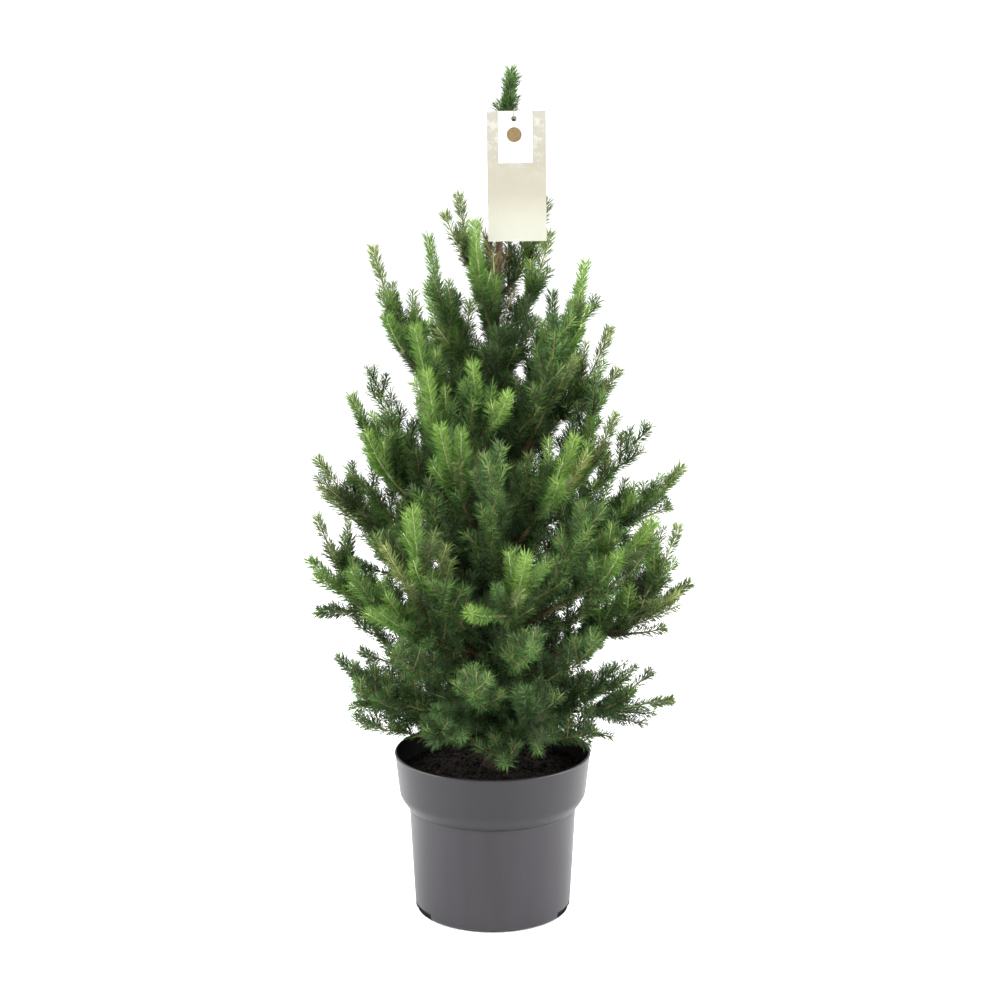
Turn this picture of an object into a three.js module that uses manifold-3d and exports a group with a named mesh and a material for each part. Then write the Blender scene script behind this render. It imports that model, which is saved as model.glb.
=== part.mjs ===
// A dwarf Alberta spruce (Picea glauca 'Conica') in a 19 cm nursery pot, with a hanging label.
// Millimetres, +Z up. The origin is the middle of the pot's flat underside, the front faces -Y.
import * as THREE from 'three';
import { mergeVertices } from 'three/addons/utils/BufferGeometryUtils.js';
import Module from 'manifold-3d';

const wasm = await Module();
wasm.setup();

// ---------------------------------------------------------------- driving dimensions
const GAP = 0.3;                  // clearance between pieces that meet

const POT = {
  height: 158.8, rimRadius: 95, bandFootRadius: 90.4, bandFoot: 119,
  bodyTopRadius: 81, bodyTop: 103.5, baseRadius: 75.4, cornerRadius: 5, wall: 2.2, floor: 3.5,
  sides: 32, notchHeight: 8, notchDepth: 9, notchHalfAngle: 15, notchBearings: [-157, -19, 92],
};
const SOIL = { top: 142, edgeDrop: 4, shoulder: 30 };
const TRUNK = {
  top: 722, footX: 5, lean: 13, bow: 12, sway: 4, footRadius: 9, topRadius: 2.4,
  flareRadius: 15, flareHeight: 26, sides: 8, steps: 14,
};
const CROWN_TOP = 812;            // tip of the leading shoot
const LABEL = {
  width: 54, height: 119, thick: 0.8, left: -5.2, top: 773, front: -16.5,
  holeRadius: 2.6, holeDrop: 7, holeX: 25, turn: 0.7,
};
const TIE = { radius: 0.7, ring: 13.6, sides: 4, steps: 22 };

const LIMB = { share: 0.3, rootRadius: 4.2, tipRadius: 3, sides: 4, steps: 3 };
const CORE = { rootRadius: 2.8, endRadius: 3, end: 0.84, corners: 5, pitch: 34, shrink: 0.88, ragged: 0.16 };
const SHOOT = {
  needleRadius: 10.5, coreRadius: 3.4, rootRadius: 2.4, endRadius: 1.2, bare: 10,
  corners: 4, pitch: 23, lean: 0.6, leadLength: 105, leadShare: 0.6, rise: 0.1,
};
const SIDE = {
  first: 20, pitch: 22, last: 58, least: 28, share: 0.6, longest: 90,
  angle: 26, angleSpread: 16, goldenAngle: 137.5,
};
const FORK = { out: 0.65, up: 0.35 };  // how far out and up a fork is half way

// Each row is one bough: bearing in degrees (0 = +X, 90 = back), height where it leaves the
// trunk, horizontal reach of its tip from the pot's axis, and height of its tip. Its forks
// follow, each with its place along the bough, bearing, reach and height of its tip.
// A tier's bend says how far out and how far up its boughs are half way, its lift how
// strongly its side shoots turn upwards, its side how long they are, and its core how thick
// its masses are inside.
const TIERS = [
  { name: 'crown', limbs: false, bendOut: 0.75, bendUp: 0.3, lift: 0.8, side: 0.6, core: 10, rows: [
    [250, 560, 48, 679], [206, 505, 66, 664], [129, 588, 51, 696, [0.4, 167, 46, 680]],
    [38, 598, 66, 689], [3, 556, 54, 664], [92, 545, 64, 652],
  ] },
  { name: 'upper', limbs: true, bendOut: 0.72, bendUp: 0.32, lift: 0.7, side: 0.7, core: 16, rows: [
    [185, 452, 112, 651, [0.5, 200, 104, 588]],
    [331, 411, 98, 642],
    [14, 428, 116, 570, [0.45, 2, 120, 533], [0.35, 46, 83, 601]],
    [222, 414, 96, 584],
    [260, 438, 101, 554, [0.45, 277, 116, 527]],
  ] },
  { name: 'rear', limbs: false, bendOut: 0.72, bendUp: 0.32, lift: 0.7, side: 0.7, core: 16, rows: [
    [130, 470, 98, 606, [0.4, 105, 84, 588]],
  ] },
  { name: 'middle', limbs: true, bendOut: 0.68, bendUp: 0.34, lift: 0.6, side: 0.85, core: 25, rows: [
    [180, 346, 134, 510, [0.45, 211, 135, 485]],
    [250, 362, 138, 502, [0.42, 238, 112, 548], [0.5, 258, 132, 498]],
    [306, 346, 128, 488, [0.5, 293, 152, 453], [0.4, 338, 125, 500]],
    [10, 322, 186, 434, [0.55, 20, 184, 388]],
    [72, 362, 138, 512, [0.4, 52, 118, 540]],
    [142, 338, 138, 474, [0.45, 118, 128, 520]],
  ] },
  { name: 'lower', limbs: true, bendOut: 0.62, bendUp: 0.36, lift: 0.4, side: 0.95, core: 31, rows: [
    [178, 296, 168, 448, [0.55, 166, 166, 404]],
    [190, 246, 176, 357, [0.55, 187, 168, 398], [0.6, 202, 176, 314]],
    [234, 254, 174, 334, [0.45, 244, 162, 432], [0.5, 222, 172, 366]],
    [280, 264, 175, 393, [0.5, 263, 169, 340]],
    [326, 272, 180, 410, [0.5, 312, 170, 382]],
    [355, 236, 190, 331, [0.55, 343, 182, 396], [0.5, 346, 168, 292]],
    [42, 266, 182, 392, [0.5, 58, 170, 418]],
    [90, 252, 176, 350, [0.5, 78, 166, 400], [0.5, 104, 170, 384]],
    [136, 260, 176, 366, [0.5, 124, 160, 414], [0.55, 150, 172, 330]],
  ] },
  { name: 'skirt', limbs: false, bendOut: 0.6, bendUp: 0.5, lift: 0, side: 0.9, core: 22, rows: [
    [250, 204, 150, 240, [0.5, 245, 131, 202]],
    [294, 194, 140, 214, [0.5, 282, 148, 262]],
    [352, 190, 175, 216, [0.5, 10, 158, 231], [0.45, 330, 150, 240]],
    [198, 192, 136, 222, [0.5, 193, 152, 264], [0.5, 220, 140, 236]],
    [56, 200, 150, 236, [0.5, 38, 152, 262], [0.5, 78, 146, 226]],
    [128, 198, 150, 232, [0.5, 105, 150, 262], [0.5, 152, 150, 240]],
  ] },
];
const LEADER = { name: 'leader', lift: 2.5, side: 0.75, core: 0 };
const SEED = { first: 7100, step: 13 };
const UPRIGHT = new THREE.Vector3(0, 0, 1);

// ---------------------------------------------------------------- materials
const material = (color, roughness, metalness = 0) =>
  new THREE.MeshStandardMaterial({ color, roughness, metalness });
const MATERIALS = {
  pot: material(0x5d5b60, 0.45),
  soil: material(0x2c201b, 0.95),
  bark: material(0x6a4c3a, 0.9),
  needles: material(0x3d6b2f, 0.7),
  card: material(0xe6dfcd, 0.6),
  tie: material(0x6b675f, 0.6),
};

// ---------------------------------------------------------------- solids
function toManifold(geometry) {
  geometry.deleteAttribute('normal');
  geometry.deleteAttribute('uv');
  const merged = mergeVertices(geometry, 1e-4);
  return new wasm.Manifold(new wasm.Mesh({
    numProp: 3,
    vertProperties: Float32Array.from(merged.attributes.position.array),
    triVerts: Uint32Array.from(merged.index.array),
  }));
}

// The outer skin of the largest piece: loose scraps go, and a hollow sealed inside is filled.
function wholePiece(manifold) {
  const pieces = manifold.decompose();
  return pieces.reduce((best, piece) => (piece.volume() > best.volume() ? piece : best));
}

function touches(one, two) {
  const a = one.boundingBox();
  const b = two.boundingBox();
  const apart = [0, 1, 2].some((axis) => a.min[axis] > b.max[axis] || b.min[axis] > a.max[axis]);
  return !apart && !one.intersect(two).isEmpty();
}

function toGeometry(manifold) {
  const { vertProperties, triVerts } = wholePiece(manifold).getMesh();
  const geometry = new THREE.BufferGeometry();
  geometry.setAttribute('position', new THREE.BufferAttribute(Float32Array.from(vertProperties), 3));
  geometry.setIndex(new THREE.BufferAttribute(Uint32Array.from(triVerts), 1));
  geometry.computeVertexNormals();
  return geometry;
}

// A numbered random sequence: the same seed always gives the same plant.
function makeRandom(seed) {
  let state = seed >>> 0;
  return () => {
    state = (Math.imul(state, 1664525) + 1013904223) >>> 0;
    return state / 4294967296;
  };
}

const radians = (degrees) => (degrees * Math.PI) / 180;
const mix = (a, b, t) => a + (b - a) * t;

// A level direction square to a heading.
function levelSide(heading) {
  const side = new THREE.Vector3(heading.y, -heading.x, 0);
  return side.length() > 0.02 * heading.length() ? side.normalize() : new THREE.Vector3(0, 1, 0);
}

// Two directions square to a tangent, the first as near as can be to the given side.
function crossFrame(tangent, side) {
  const flat = side.clone().addScaledVector(tangent, -side.dot(tangent)).normalize();
  return { side: flat, over: new THREE.Vector3().crossVectors(flat, tangent).normalize() };
}

// A closed cylinder bent along a curve. reachAt(ring, corner) gives the radius and the
// forward shift of each corner of each ring.
function bentCylinder(curve, sides, steps, reachAt) {
  const geometry = new THREE.CylinderGeometry(1, 1, 1, sides, steps);
  const position = geometry.attributes.position;
  const level = levelSide(curve.getPoint(1).sub(curve.getPoint(0)));
  const rings = [];
  for (let ring = 0; ring <= steps; ring += 1) {
    const tangent = curve.getTangent(ring / steps).normalize();
    rings.push({ centre: curve.getPoint(ring / steps), tangent, ...crossFrame(tangent, level) });
  }
  for (let i = 0; i < position.count; i += 1) {
    const x = position.getX(i);
    const z = position.getZ(i);
    const ring = Math.round((position.getY(i) + 0.5) * steps);
    const angle = Math.atan2(x, z);
    const corner = Math.round((angle * sides) / (2 * Math.PI) + sides) % sides;
    const { centre, tangent, side, over } = rings[ring];
    const outward = side.clone().multiplyScalar(Math.cos(angle)).addScaledVector(over, -Math.sin(angle));
    const { radius, shift = 0 } = reachAt(ring, corner, centre, outward);
    const onAxis = Math.hypot(x, z) < 0.5;
    const point = centre.clone()
      .addScaledVector(outward, onAxis ? 0 : radius)
      .addScaledVector(tangent, onAxis ? 0 : shift);
    position.setXYZ(i, point.x, point.y, point.z);
  }
  return toManifold(geometry);
}

// The stretch of a curve between two values of its parameter.
function partOf(curve, from, to) {
  const points = [];
  const steps = 8;
  for (let i = 0; i <= steps; i += 1) {
    points.push(curve.getPoint(mix(from, to, i / steps)));
  }
  return new THREE.CatmullRomCurve3(points);
}

// ---------------------------------------------------------------- pot and soil
function cornerArc(x, y, radius, from, to, steps) {
  const points = [];
  for (let i = 0; i <= steps; i += 1) {
    const angle = radians(mix(from, to, i / steps));
    points.push(new THREE.Vector2(x + radius * Math.cos(angle), y + radius * Math.sin(angle)));
  }
  return points;
}

function buildPot() {
  const { wall } = POT;
  const outline = [
    new THREE.Vector2(0, 0),
    ...cornerArc(POT.baseRadius - POT.cornerRadius, POT.cornerRadius, POT.cornerRadius, -90, 0, 2),
    new THREE.Vector2(POT.bodyTopRadius, POT.bodyTop),
    new THREE.Vector2(POT.bandFootRadius, POT.bandFoot),
    ...cornerArc(POT.rimRadius - wall / 2, POT.height - wall / 2, wall / 2, 0, 180, 2),
    new THREE.Vector2(POT.bandFootRadius - wall, POT.bandFoot + 1),
    new THREE.Vector2(POT.bodyTopRadius - wall, POT.bodyTop + 1),
    new THREE.Vector2(POT.baseRadius - wall, POT.floor),
    new THREE.Vector2(0, POT.floor),
  ];
  const lathe = new THREE.LatheGeometry(outline, POT.sides);
  lathe.rotateX(Math.PI / 2);
  let pot = toManifold(lathe);
  for (const bearing of POT.notchBearings) {
    pot = pot.subtract(buildNotch(bearing));
  }
  return pot;
}

// A drainage notch: an arc cut into the outer corner of the base, as deep as the foot ring.
function buildNotch(bearing) {
  const outer = POT.baseRadius + 5;
  const inner = POT.baseRadius - POT.notchDepth;
  const from = radians(bearing - POT.notchHalfAngle);
  const to = radians(bearing + POT.notchHalfAngle);
  const shape = new THREE.Shape();
  shape.absarc(0, 0, outer, from, to, false);
  shape.absarc(0, 0, inner, to, from, true);
  shape.closePath();
  const floorSkin = 1.2;
  const notch = new THREE.ExtrudeGeometry(shape, {
    depth: POT.notchHeight - floorSkin, bevelEnabled: false, curveSegments: 3,
  });
  notch.translate(0, 0, floorSkin);
  return toManifold(notch);
}

function buildSoil() {
  const facetSag = 0.4;
  const inset = POT.wall + GAP + facetSag;
  const outline = [
    new THREE.Vector2(0, POT.floor + GAP),
    new THREE.Vector2(POT.baseRadius - inset, POT.floor + GAP),
    new THREE.Vector2(POT.bodyTopRadius - inset, POT.bodyTop + 2),
    new THREE.Vector2(POT.bandFootRadius - inset, POT.bandFoot + 2),
    new THREE.Vector2(mix(POT.bandFootRadius, POT.rimRadius, 0.5) - inset, SOIL.top - SOIL.edgeDrop),
    new THREE.Vector2(SOIL.shoulder, SOIL.top),
    new THREE.Vector2(0, SOIL.top),
  ];
  const lathe = new THREE.LatheGeometry(outline, POT.sides);
  lathe.rotateX(Math.PI / 2);
  return toManifold(lathe);
}

// ---------------------------------------------------------------- trunk
// The trunk's axis leans to +X and bows the other way on its way up.
function trunkAxis(z) {
  const t = (z - SOIL.top) / (CROWN_TOP - SOIL.top);
  const bend = Math.sin(Math.PI * t);
  return new THREE.Vector3(TRUNK.footX + TRUNK.lean * t - TRUNK.bow * bend, TRUNK.sway * bend, z);
}

function trunkRadius(z) {
  const t = Math.max(0, (z - SOIL.top) / (TRUNK.top - SOIL.top));
  const flare = Math.max(0, 1 - (z - SOIL.top) / TRUNK.flareHeight);
  return mix(TRUNK.footRadius, TRUNK.topRadius, t ** 0.85)
    + (TRUNK.flareRadius - TRUNK.footRadius) * flare * flare;
}

class TrunkCurve extends THREE.Curve {
  getPoint(t) {
    const z = mix(SOIL.top + GAP, TRUNK.top, t ** 1.3);
    return trunkAxis(z);
  }

  getTangent() {
    return UPRIGHT.clone();
  }
}

function trunkSolid(extra) {
  const curve = new TrunkCurve();
  return bentCylinder(curve, TRUNK.sides, TRUNK.steps, (ring, corner) => {
    const { z } = curve.getPoint(ring / TRUNK.steps);
    const flare = Math.max(0, 1 - (z - SOIL.top) / TRUNK.flareHeight);
    const ridge = corner % 2 === 0 ? 0.16 : -0.2;
    return { radius: trunkRadius(z) * (1 + ridge * flare) + extra };
  });
}

// ---------------------------------------------------------------- boughs and shoots
// Every bough follows one curve from the trunk's axis to its tip: first out, then up.
function bend(start, bearing, reach, tip, out, up) {
  const end = new THREE.Vector3(
    reach * Math.cos(radians(bearing)), reach * Math.sin(radians(bearing)), tip);
  const middle = new THREE.Vector3(
    mix(start.x, end.x, out), mix(start.y, end.y, out), mix(start.z, end.z, up));
  return new THREE.QuadraticBezierCurve3(start, middle, end);
}

const SPOTS = 30;                 // places along a curve that its bough's space is measured from

function makeBough(name, tier, curve, forks) {
  const curves = [curve, ...forks];
  return {
    name, tier, curve, forks, limb: tier.limbs ? LIMB.share : 0, length: curve.getLength(),
    spots: curves.flatMap((one) => Array.from({ length: SPOTS + 1 }, (_, i) => one.getPoint(i / SPOTS))),
  };
}

function listBoughs() {
  const boughs = [];
  for (const tier of TIERS) {
    tier.rows.forEach(([bearing, foot, reach, tip, ...rest], index) => {
      const curve = bend(trunkAxis(foot), bearing, reach, tip, tier.bendOut, tier.bendUp);
      const forks = rest.map(([share, ...end]) => bend(curve.getPoint(share), ...end, FORK.out, FORK.up));
      boughs.push(makeBough(`${tier.name}_${index + 1}`, tier, curve, forks));
    });
  }
  const leader = new THREE.QuadraticBezierCurve3(
    trunkAxis(TRUNK.top + GAP), trunkAxis(mix(TRUNK.top, CROWN_TOP, 0.5)), trunkAxis(CROWN_TOP));
  boughs.push(makeBough('leader', LEADER, leader, []));
  boughs.forEach((bough, index) => {
    bough.random = makeRandom(SEED.first + SEED.step * index);
  });
  return boughs;
}

// The bough whose curve runs nearest to a point owns the space there.
function ownerOf(point, boughs) {
  let best = null;
  let least = Infinity;
  for (const bough of boughs) {
    for (const spot of bough.spots) {
      const distance = spot.distanceToSquared(point);
      if (distance < least) {
        least = distance;
        best = bough;
      }
    }
  }
  return best;
}

// Foliage keeps off the trunk, the pot and its soil, and the slab that the label hangs in.
function nearTrunk(point, room) {
  const axis = trunkAxis(point.z);
  return Math.hypot(point.x - axis.x, point.y - axis.y) < trunkRadius(point.z) + room;
}

function nearPot(point, room) {
  const overRim = Math.hypot(point.x, point.y) + room > POT.rimRadius - POT.wall - 2;
  return point.z - room < (overRim ? POT.height + 1 : SOIL.top + 1);
}

function nearLabel(point, room) {
  const dx = Math.max(LABEL.left - point.x, 0, point.x - LABEL.left - LABEL.width - 2);
  const dy = Math.max(LABEL.front - 2 - point.y, 0, point.y - LABEL.front - 2);
  const dz = Math.max(LABEL.top - LABEL.height - point.z, 0, point.z - LABEL.top - 4);
  return Math.hypot(dx, dy, dz) < room + 1;
}

function limbSolid(bough) {
  const curve = partOf(bough.curve, 0, bough.limb);
  return bentCylinder(curve, LIMB.sides, LIMB.steps, (ring) => ({
    radius: mix(LIMB.rootRadius, LIMB.tipRadius, ring / LIMB.steps),
  }));
}

// The inside of a mass: a woody stem from the limb's end or the trunk, that thickens into a
// ragged core of needles, as wide as its own space lets it be, and thins out into the tip.
function coreSolid(bough, boughs) {
  const from = bough.limb > 0 ? bough.limb + GAP / bough.length : 0;
  const curve = partOf(bough.curve, from, CORE.end);
  const steps = Math.max(3, Math.round(((CORE.end - from) * bough.length) / CORE.pitch));
  const woodyRings = bough.limb > 0 ? 0 : 1;
  return bentCylinder(curve, CORE.corners, steps, (ring, corner, centre, outward) => {
    if (ring <= woodyRings || ring === steps) {
      return { radius: ring === steps ? CORE.endRadius : CORE.rootRadius };
    }
    const along = (ring - woodyRings) / (steps - woodyRings);
    const wanted = bough.tier.core * Math.sin(Math.PI * along);
    let radius = CORE.rootRadius;
    while (radius < wanted) {
      const point = centre.clone().addScaledVector(outward, radius + 2);
      const taken = nearTrunk(point, 2) || nearPot(point, 2) || nearLabel(point, 1);
      if (taken || ownerOf(point, boughs) !== bough) {
        break;
      }
      radius += 1;
    }
    const ragged = (ring + corner) % 2 === 0 ? 1 - CORE.ragged : 1 + CORE.ragged;
    return { radius: Math.max(CORE.rootRadius, radius * CORE.shrink * ragged) };
  });
}

// A shoot: a slim core with rows of needle points that lean forward and stand out of it
// in turn, two at a time.
function shootSolid(curve, length, extra = 0) {
  const steps = Math.max(3, Math.round(length / SHOOT.pitch));
  return bentCylinder(curve, SHOOT.corners, steps, (ring, corner) => {
    if (ring === 0) {
      return { radius: SHOOT.rootRadius + extra };
    }
    if (ring === steps) {
      return { radius: SHOOT.endRadius + extra, shift: extra };
    }
    const along = ring / steps;
    if ((ring + corner) % 2 === 0 || along * length < SHOOT.bare) {
      return { radius: mix(SHOOT.coreRadius, SHOOT.rootRadius, along) + extra };
    }
    const fade = 1 - 0.3 * Math.abs(2 * along - 1);
    return { radius: SHOOT.needleRadius * fade + extra, shift: SHOOT.lean * (length / steps) };
  });
}

function shootCurve(start, direction, length) {
  const end = start.clone().addScaledVector(direction, length).addScaledVector(UPRIGHT, SHOOT.rise * length);
  const middle = start.clone().addScaledVector(direction, length / 2);
  return new THREE.QuadraticBezierCurve3(start, middle, end);
}

// The leading shoot clothes the outer end of the bough's own curve.
function leadSolid(bough) {
  const length = Math.min(SHOOT.leadLength, bough.length * SHOOT.leadShare);
  return shootSolid(partOf(bough.curve, 1 - length / bough.length, 1), length);
}

// The side shoots that a bough would like to have: round its curve by the golden angle,
// shorter towards the tip, turned upwards by the tier's lift.
function wantedShoots(bough) {
  const { random, length, limb, tier, curve } = bough;
  const shoots = [];
  let turn = random() * 360;
  for (let along = length * limb + SIDE.first; along < length - SIDE.last; along += SIDE.pitch) {
    const t = along / length;
    const tangent = curve.getTangent(t).normalize();
    const { side, over } = crossFrame(tangent, levelSide(tangent));
    turn += SIDE.goldenAngle;
    const lean = radians(SIDE.angle + SIDE.angleSpread * random());
    const direction = tangent.clone().multiplyScalar(Math.cos(lean))
      .addScaledVector(side, Math.sin(lean) * Math.cos(radians(turn)))
      .addScaledVector(over, Math.sin(lean) * Math.sin(radians(turn)))
      .addScaledVector(UPRIGHT, tier.lift).normalize();
    const size = SIDE.least + (1 - t) * SIDE.share * length * mix(0.7, 1.2, random());
    shoots.push({ start: curve.getPoint(t), direction, length: Math.min(SIDE.longest, size) * tier.side });
  }
  return shoots;
}

// Side shoots end lower and further in than the tip of their bough.
function withinReach(tip, bough) {
  const end = bough.curve.getPoint(1);
  return tip.z < end.z - 2 && Math.hypot(tip.x, tip.y) < Math.max(45, Math.hypot(end.x, end.y) + 2);
}

// A solid is joined to its bough's mass where its space touches no other piece.
function joinIfClear(bough, space, solid, boughs, fixed) {
  const others = boughs.filter((other) => other !== bough).map((other) => other.mass);
  if ([...fixed, ...others].some((other) => touches(space, other))) {
    return false;
  }
  bough.mass = bough.mass.add(solid);
  return true;
}

// A fork is tried at full length, then shorter, and skipped where it would touch another piece.
function placeFork(bough, fork, boughs, fixed) {
  for (const share of [1, 0.9, 0.8, 0.65]) {
    const curve = partOf(fork, 0, share);
    const length = curve.getLength();
    const space = shootSolid(curve, length, GAP + 0.1);
    if (joinIfClear(bough, space, shootSolid(curve, length), boughs, fixed)) {
      return;
    }
  }
}

// A shoot is tried at full length, then shorter, and skipped where it would leave its
// bough's space or touch another piece.
function placeShoot(bough, shoot, boughs, fixed) {
  for (const share of [1, 0.75, 0.55]) {
    const length = shoot.length * share;
    const curve = shootCurve(shoot.start, shoot.direction, length);
    const tip = curve.getPoint(1);
    const open = !nearPot(tip, 4) && !nearLabel(tip, 4) && withinReach(tip, bough);
    if (open && ownerOf(tip, boughs) === bough) {
      const space = shootSolid(curve, length, GAP + 0.1);
      if (joinIfClear(bough, space, shootSolid(curve, length), boughs, fixed)) {
        return;
      }
    }
  }
}

// ---------------------------------------------------------------- label
function buildLabel() {
  const half = LABEL.width / 2;
  const shape = new THREE.Shape();
  shape.moveTo(-half, -LABEL.height);
  shape.lineTo(half, -LABEL.height);
  shape.lineTo(half, 0);
  shape.lineTo(-half, 0);
  shape.closePath();
  const hole = new THREE.Path();
  hole.absarc(LABEL.holeX - half, -LABEL.holeDrop, LABEL.holeRadius, 0, 2 * Math.PI, false);
  shape.holes.push(hole);
  const card = new THREE.ExtrudeGeometry(shape, {
    depth: LABEL.thick, bevelEnabled: false, curveSegments: 10,
  });
  card.rotateX(Math.PI / 2);
  card.rotateY(radians(-LABEL.turn));
  card.translate(LABEL.left + half, LABEL.front, LABEL.top);
  return toManifold(card);
}

// The tie: a thin loop that goes through the label's hole, over its top edge and round the leader.
function buildTie() {
  const hole = new THREE.Vector3(
    LABEL.left + LABEL.holeX, LABEL.front - LABEL.thick / 2, LABEL.top - LABEL.holeDrop);
  const leader = trunkAxis(hole.z + 3);
  const around = [130, 90, 50].map((angle) => [
    leader.x - TIE.ring * Math.cos(radians(angle)), leader.y + TIE.ring * Math.sin(radians(angle)), 3]);
  const route = [
    [hole.x, hole.y - 2.4, 1.6],
    [hole.x, hole.y, 0],
    [hole.x - 4, hole.y + 3, 0.4],
    [leader.x - TIE.ring, leader.y, 1.8],
    ...around.reverse(),
    [leader.x + TIE.ring, leader.y, 5],
    [hole.x + 4, hole.y + 4, 8],
    [hole.x, hole.y, 9.2],
    [hole.x, hole.y - 2.4, 7],
  ].map(([x, y, rise]) => new THREE.Vector3(x, y, hole.z + rise));
  const loop = new THREE.CatmullRomCurve3(route, true);
  const torus = new THREE.TorusGeometry(1, 0.5, TIE.sides, TIE.steps);
  const position = torus.attributes.position;
  for (let i = 0; i < position.count; i += 1) {
    const share = (Math.atan2(position.getY(i), position.getX(i)) / (2 * Math.PI) + 1) % 1;
    const outward = (Math.hypot(position.getX(i), position.getY(i)) - 1) / 0.5;
    const up = position.getZ(i) / 0.5;
    const tangent = loop.getTangent(share).normalize();
    const { side, over } = crossFrame(tangent, UPRIGHT);
    const point = loop.getPoint(share)
      .addScaledVector(side, outward * TIE.radius)
      .addScaledVector(over, up * TIE.radius);
    position.setXYZ(i, point.x, point.y, point.z);
  }
  return toManifold(torus);
}

// ---------------------------------------------------------------- assembly
const plant = new THREE.Group();

function addPiece(name, solid, look) {
  const mesh = new THREE.Mesh(toGeometry(solid), look);
  mesh.name = name;
  plant.add(mesh);
}

const pot = buildPot();
const soil = buildSoil();
const label = buildLabel();
const tie = buildTie();
addPiece('pot', pot, MATERIALS.pot);
addPiece('soil', soil, MATERIALS.soil);
addPiece('trunk', trunkSolid(0), MATERIALS.bark);

const boughs = listBoughs();
const trunkSpace = trunkSolid(GAP);
const fixed = [pot, soil, trunkSpace, label, tie];
for (const bough of boughs) {
  bough.mass = wholePiece(coreSolid(bough, boughs).add(leadSolid(bough)).subtract(trunkSpace));
  if (bough.limb > 0) {
    const limb = limbSolid(bough).subtract(trunkSpace);
    addPiece(`bough_${bough.name}`, limb, MATERIALS.bark);
    fixed.push(limb);
  }
}
for (const bough of boughs) {
  for (const fork of bough.forks) {
    placeFork(bough, fork, boughs, fixed);
  }
}
const wanted = boughs.map(wantedShoots);
const most = Math.max(...wanted.map((shoots) => shoots.length));
for (let turn = 0; turn < most; turn += 1) {
  boughs.forEach((bough, index) => {
    if (turn < wanted[index].length) {
      placeShoot(bough, wanted[index][turn], boughs, fixed);
    }
  });
}
for (const bough of boughs) {
  addPiece(`needles_${bough.name}`, bough.mass, MATERIALS.needles);
}

addPiece('label', label, MATERIALS.card);
addPiece('label_tie', tie, MATERIALS.tie);

export default plant;
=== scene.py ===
"""The looks of a dwarf Alberta spruce in a 19 cm nursery pot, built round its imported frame.

The foliage grows by the rule of the CAD source, written again here and carried to finer
twigs: boughs from the trunk, side shoots round each bough by the golden angle, twiglets on
the side shoots, and needles round all of them. Lengths are in millimetres, as in the
source, and turn into metres when a mesh is made.
"""
import itertools
import math
from dataclasses import dataclass

import bpy
import numpy as np
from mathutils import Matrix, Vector


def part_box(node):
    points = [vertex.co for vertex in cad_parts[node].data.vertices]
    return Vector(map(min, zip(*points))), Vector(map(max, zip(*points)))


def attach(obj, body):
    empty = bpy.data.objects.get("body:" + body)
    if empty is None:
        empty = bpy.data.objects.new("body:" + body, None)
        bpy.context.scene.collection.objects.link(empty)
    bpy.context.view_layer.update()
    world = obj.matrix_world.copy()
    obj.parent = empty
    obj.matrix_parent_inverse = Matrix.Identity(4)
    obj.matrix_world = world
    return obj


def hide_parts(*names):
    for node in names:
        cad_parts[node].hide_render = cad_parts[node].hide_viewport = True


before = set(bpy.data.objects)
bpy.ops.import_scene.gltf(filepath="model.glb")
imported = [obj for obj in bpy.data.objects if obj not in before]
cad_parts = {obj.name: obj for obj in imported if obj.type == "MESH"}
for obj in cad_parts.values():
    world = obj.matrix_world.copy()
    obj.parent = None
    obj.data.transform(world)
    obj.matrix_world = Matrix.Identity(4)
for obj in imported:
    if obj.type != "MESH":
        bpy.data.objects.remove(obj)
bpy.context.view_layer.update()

# ---------------- sizes of pot, trunk, label and boughs
MM = 0.001
GAP = 0.3
UP = np.array([0.0, 0.0, 1.0])
GOLDEN_ANGLE = 137.5

POT_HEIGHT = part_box("pot")[1].z / MM
POT_RIM = 95.0
POT_WALL = 2.2
POT_FLOOR = 3.5
POT_BAND_FOOT = (90.4, 119.0)       # radius and height of the rim band's lower edge
POT_BODY_TOP = (81.0, 103.5)
POT_BASE = 75.4
POT_CORNER = 5.0
NOTCH_HEIGHT, NOTCH_DEPTH, NOTCH_HALF_ANGLE = 8.0, 9.0, 15.0
NOTCH_BEARINGS = (-157, -19, 92)
NOTCH_FLOOR = 1.2

SOIL_TOP, SOIL_DROP, SOIL_SHOULDER = 142.0, 4.0, 30.0
CRUMBS, CRUMB_SEED = 1300, 51

TRUNK_TOP, CROWN_TOP = 722.0, 812.0
TRUNK_FOOT_X, TRUNK_LEAN, TRUNK_BOW, TRUNK_SWAY = 5.0, 13.0, 12.0, 4.0
TRUNK_FOOT, TRUNK_TIP = 9.0, 2.4    # radii
FLARE_RADIUS, FLARE_HEIGHT = 15.0, 26.0

LABEL_WIDTH, LABEL_HEIGHT, LABEL_THICK = 54.0, 119.0, 0.8
LABEL_LEFT, LABEL_TOP, LABEL_FRONT, LABEL_TURN = -5.2, 773.0, -16.5, 0.7
HOLE_RADIUS, HOLE_DROP, HOLE_X = 2.6, 7.0, 25.0
PANEL_LEFT, PANEL_WIDTH, PANEL_HEIGHT, PANEL_THICK = 5.3, 31.1, 47.2, 0.12
DISC_RADIUS, DISC_DROP = 6.9, 21.5
TIE_RADIUS, TIE_RING = 0.7, 13.6

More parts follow.
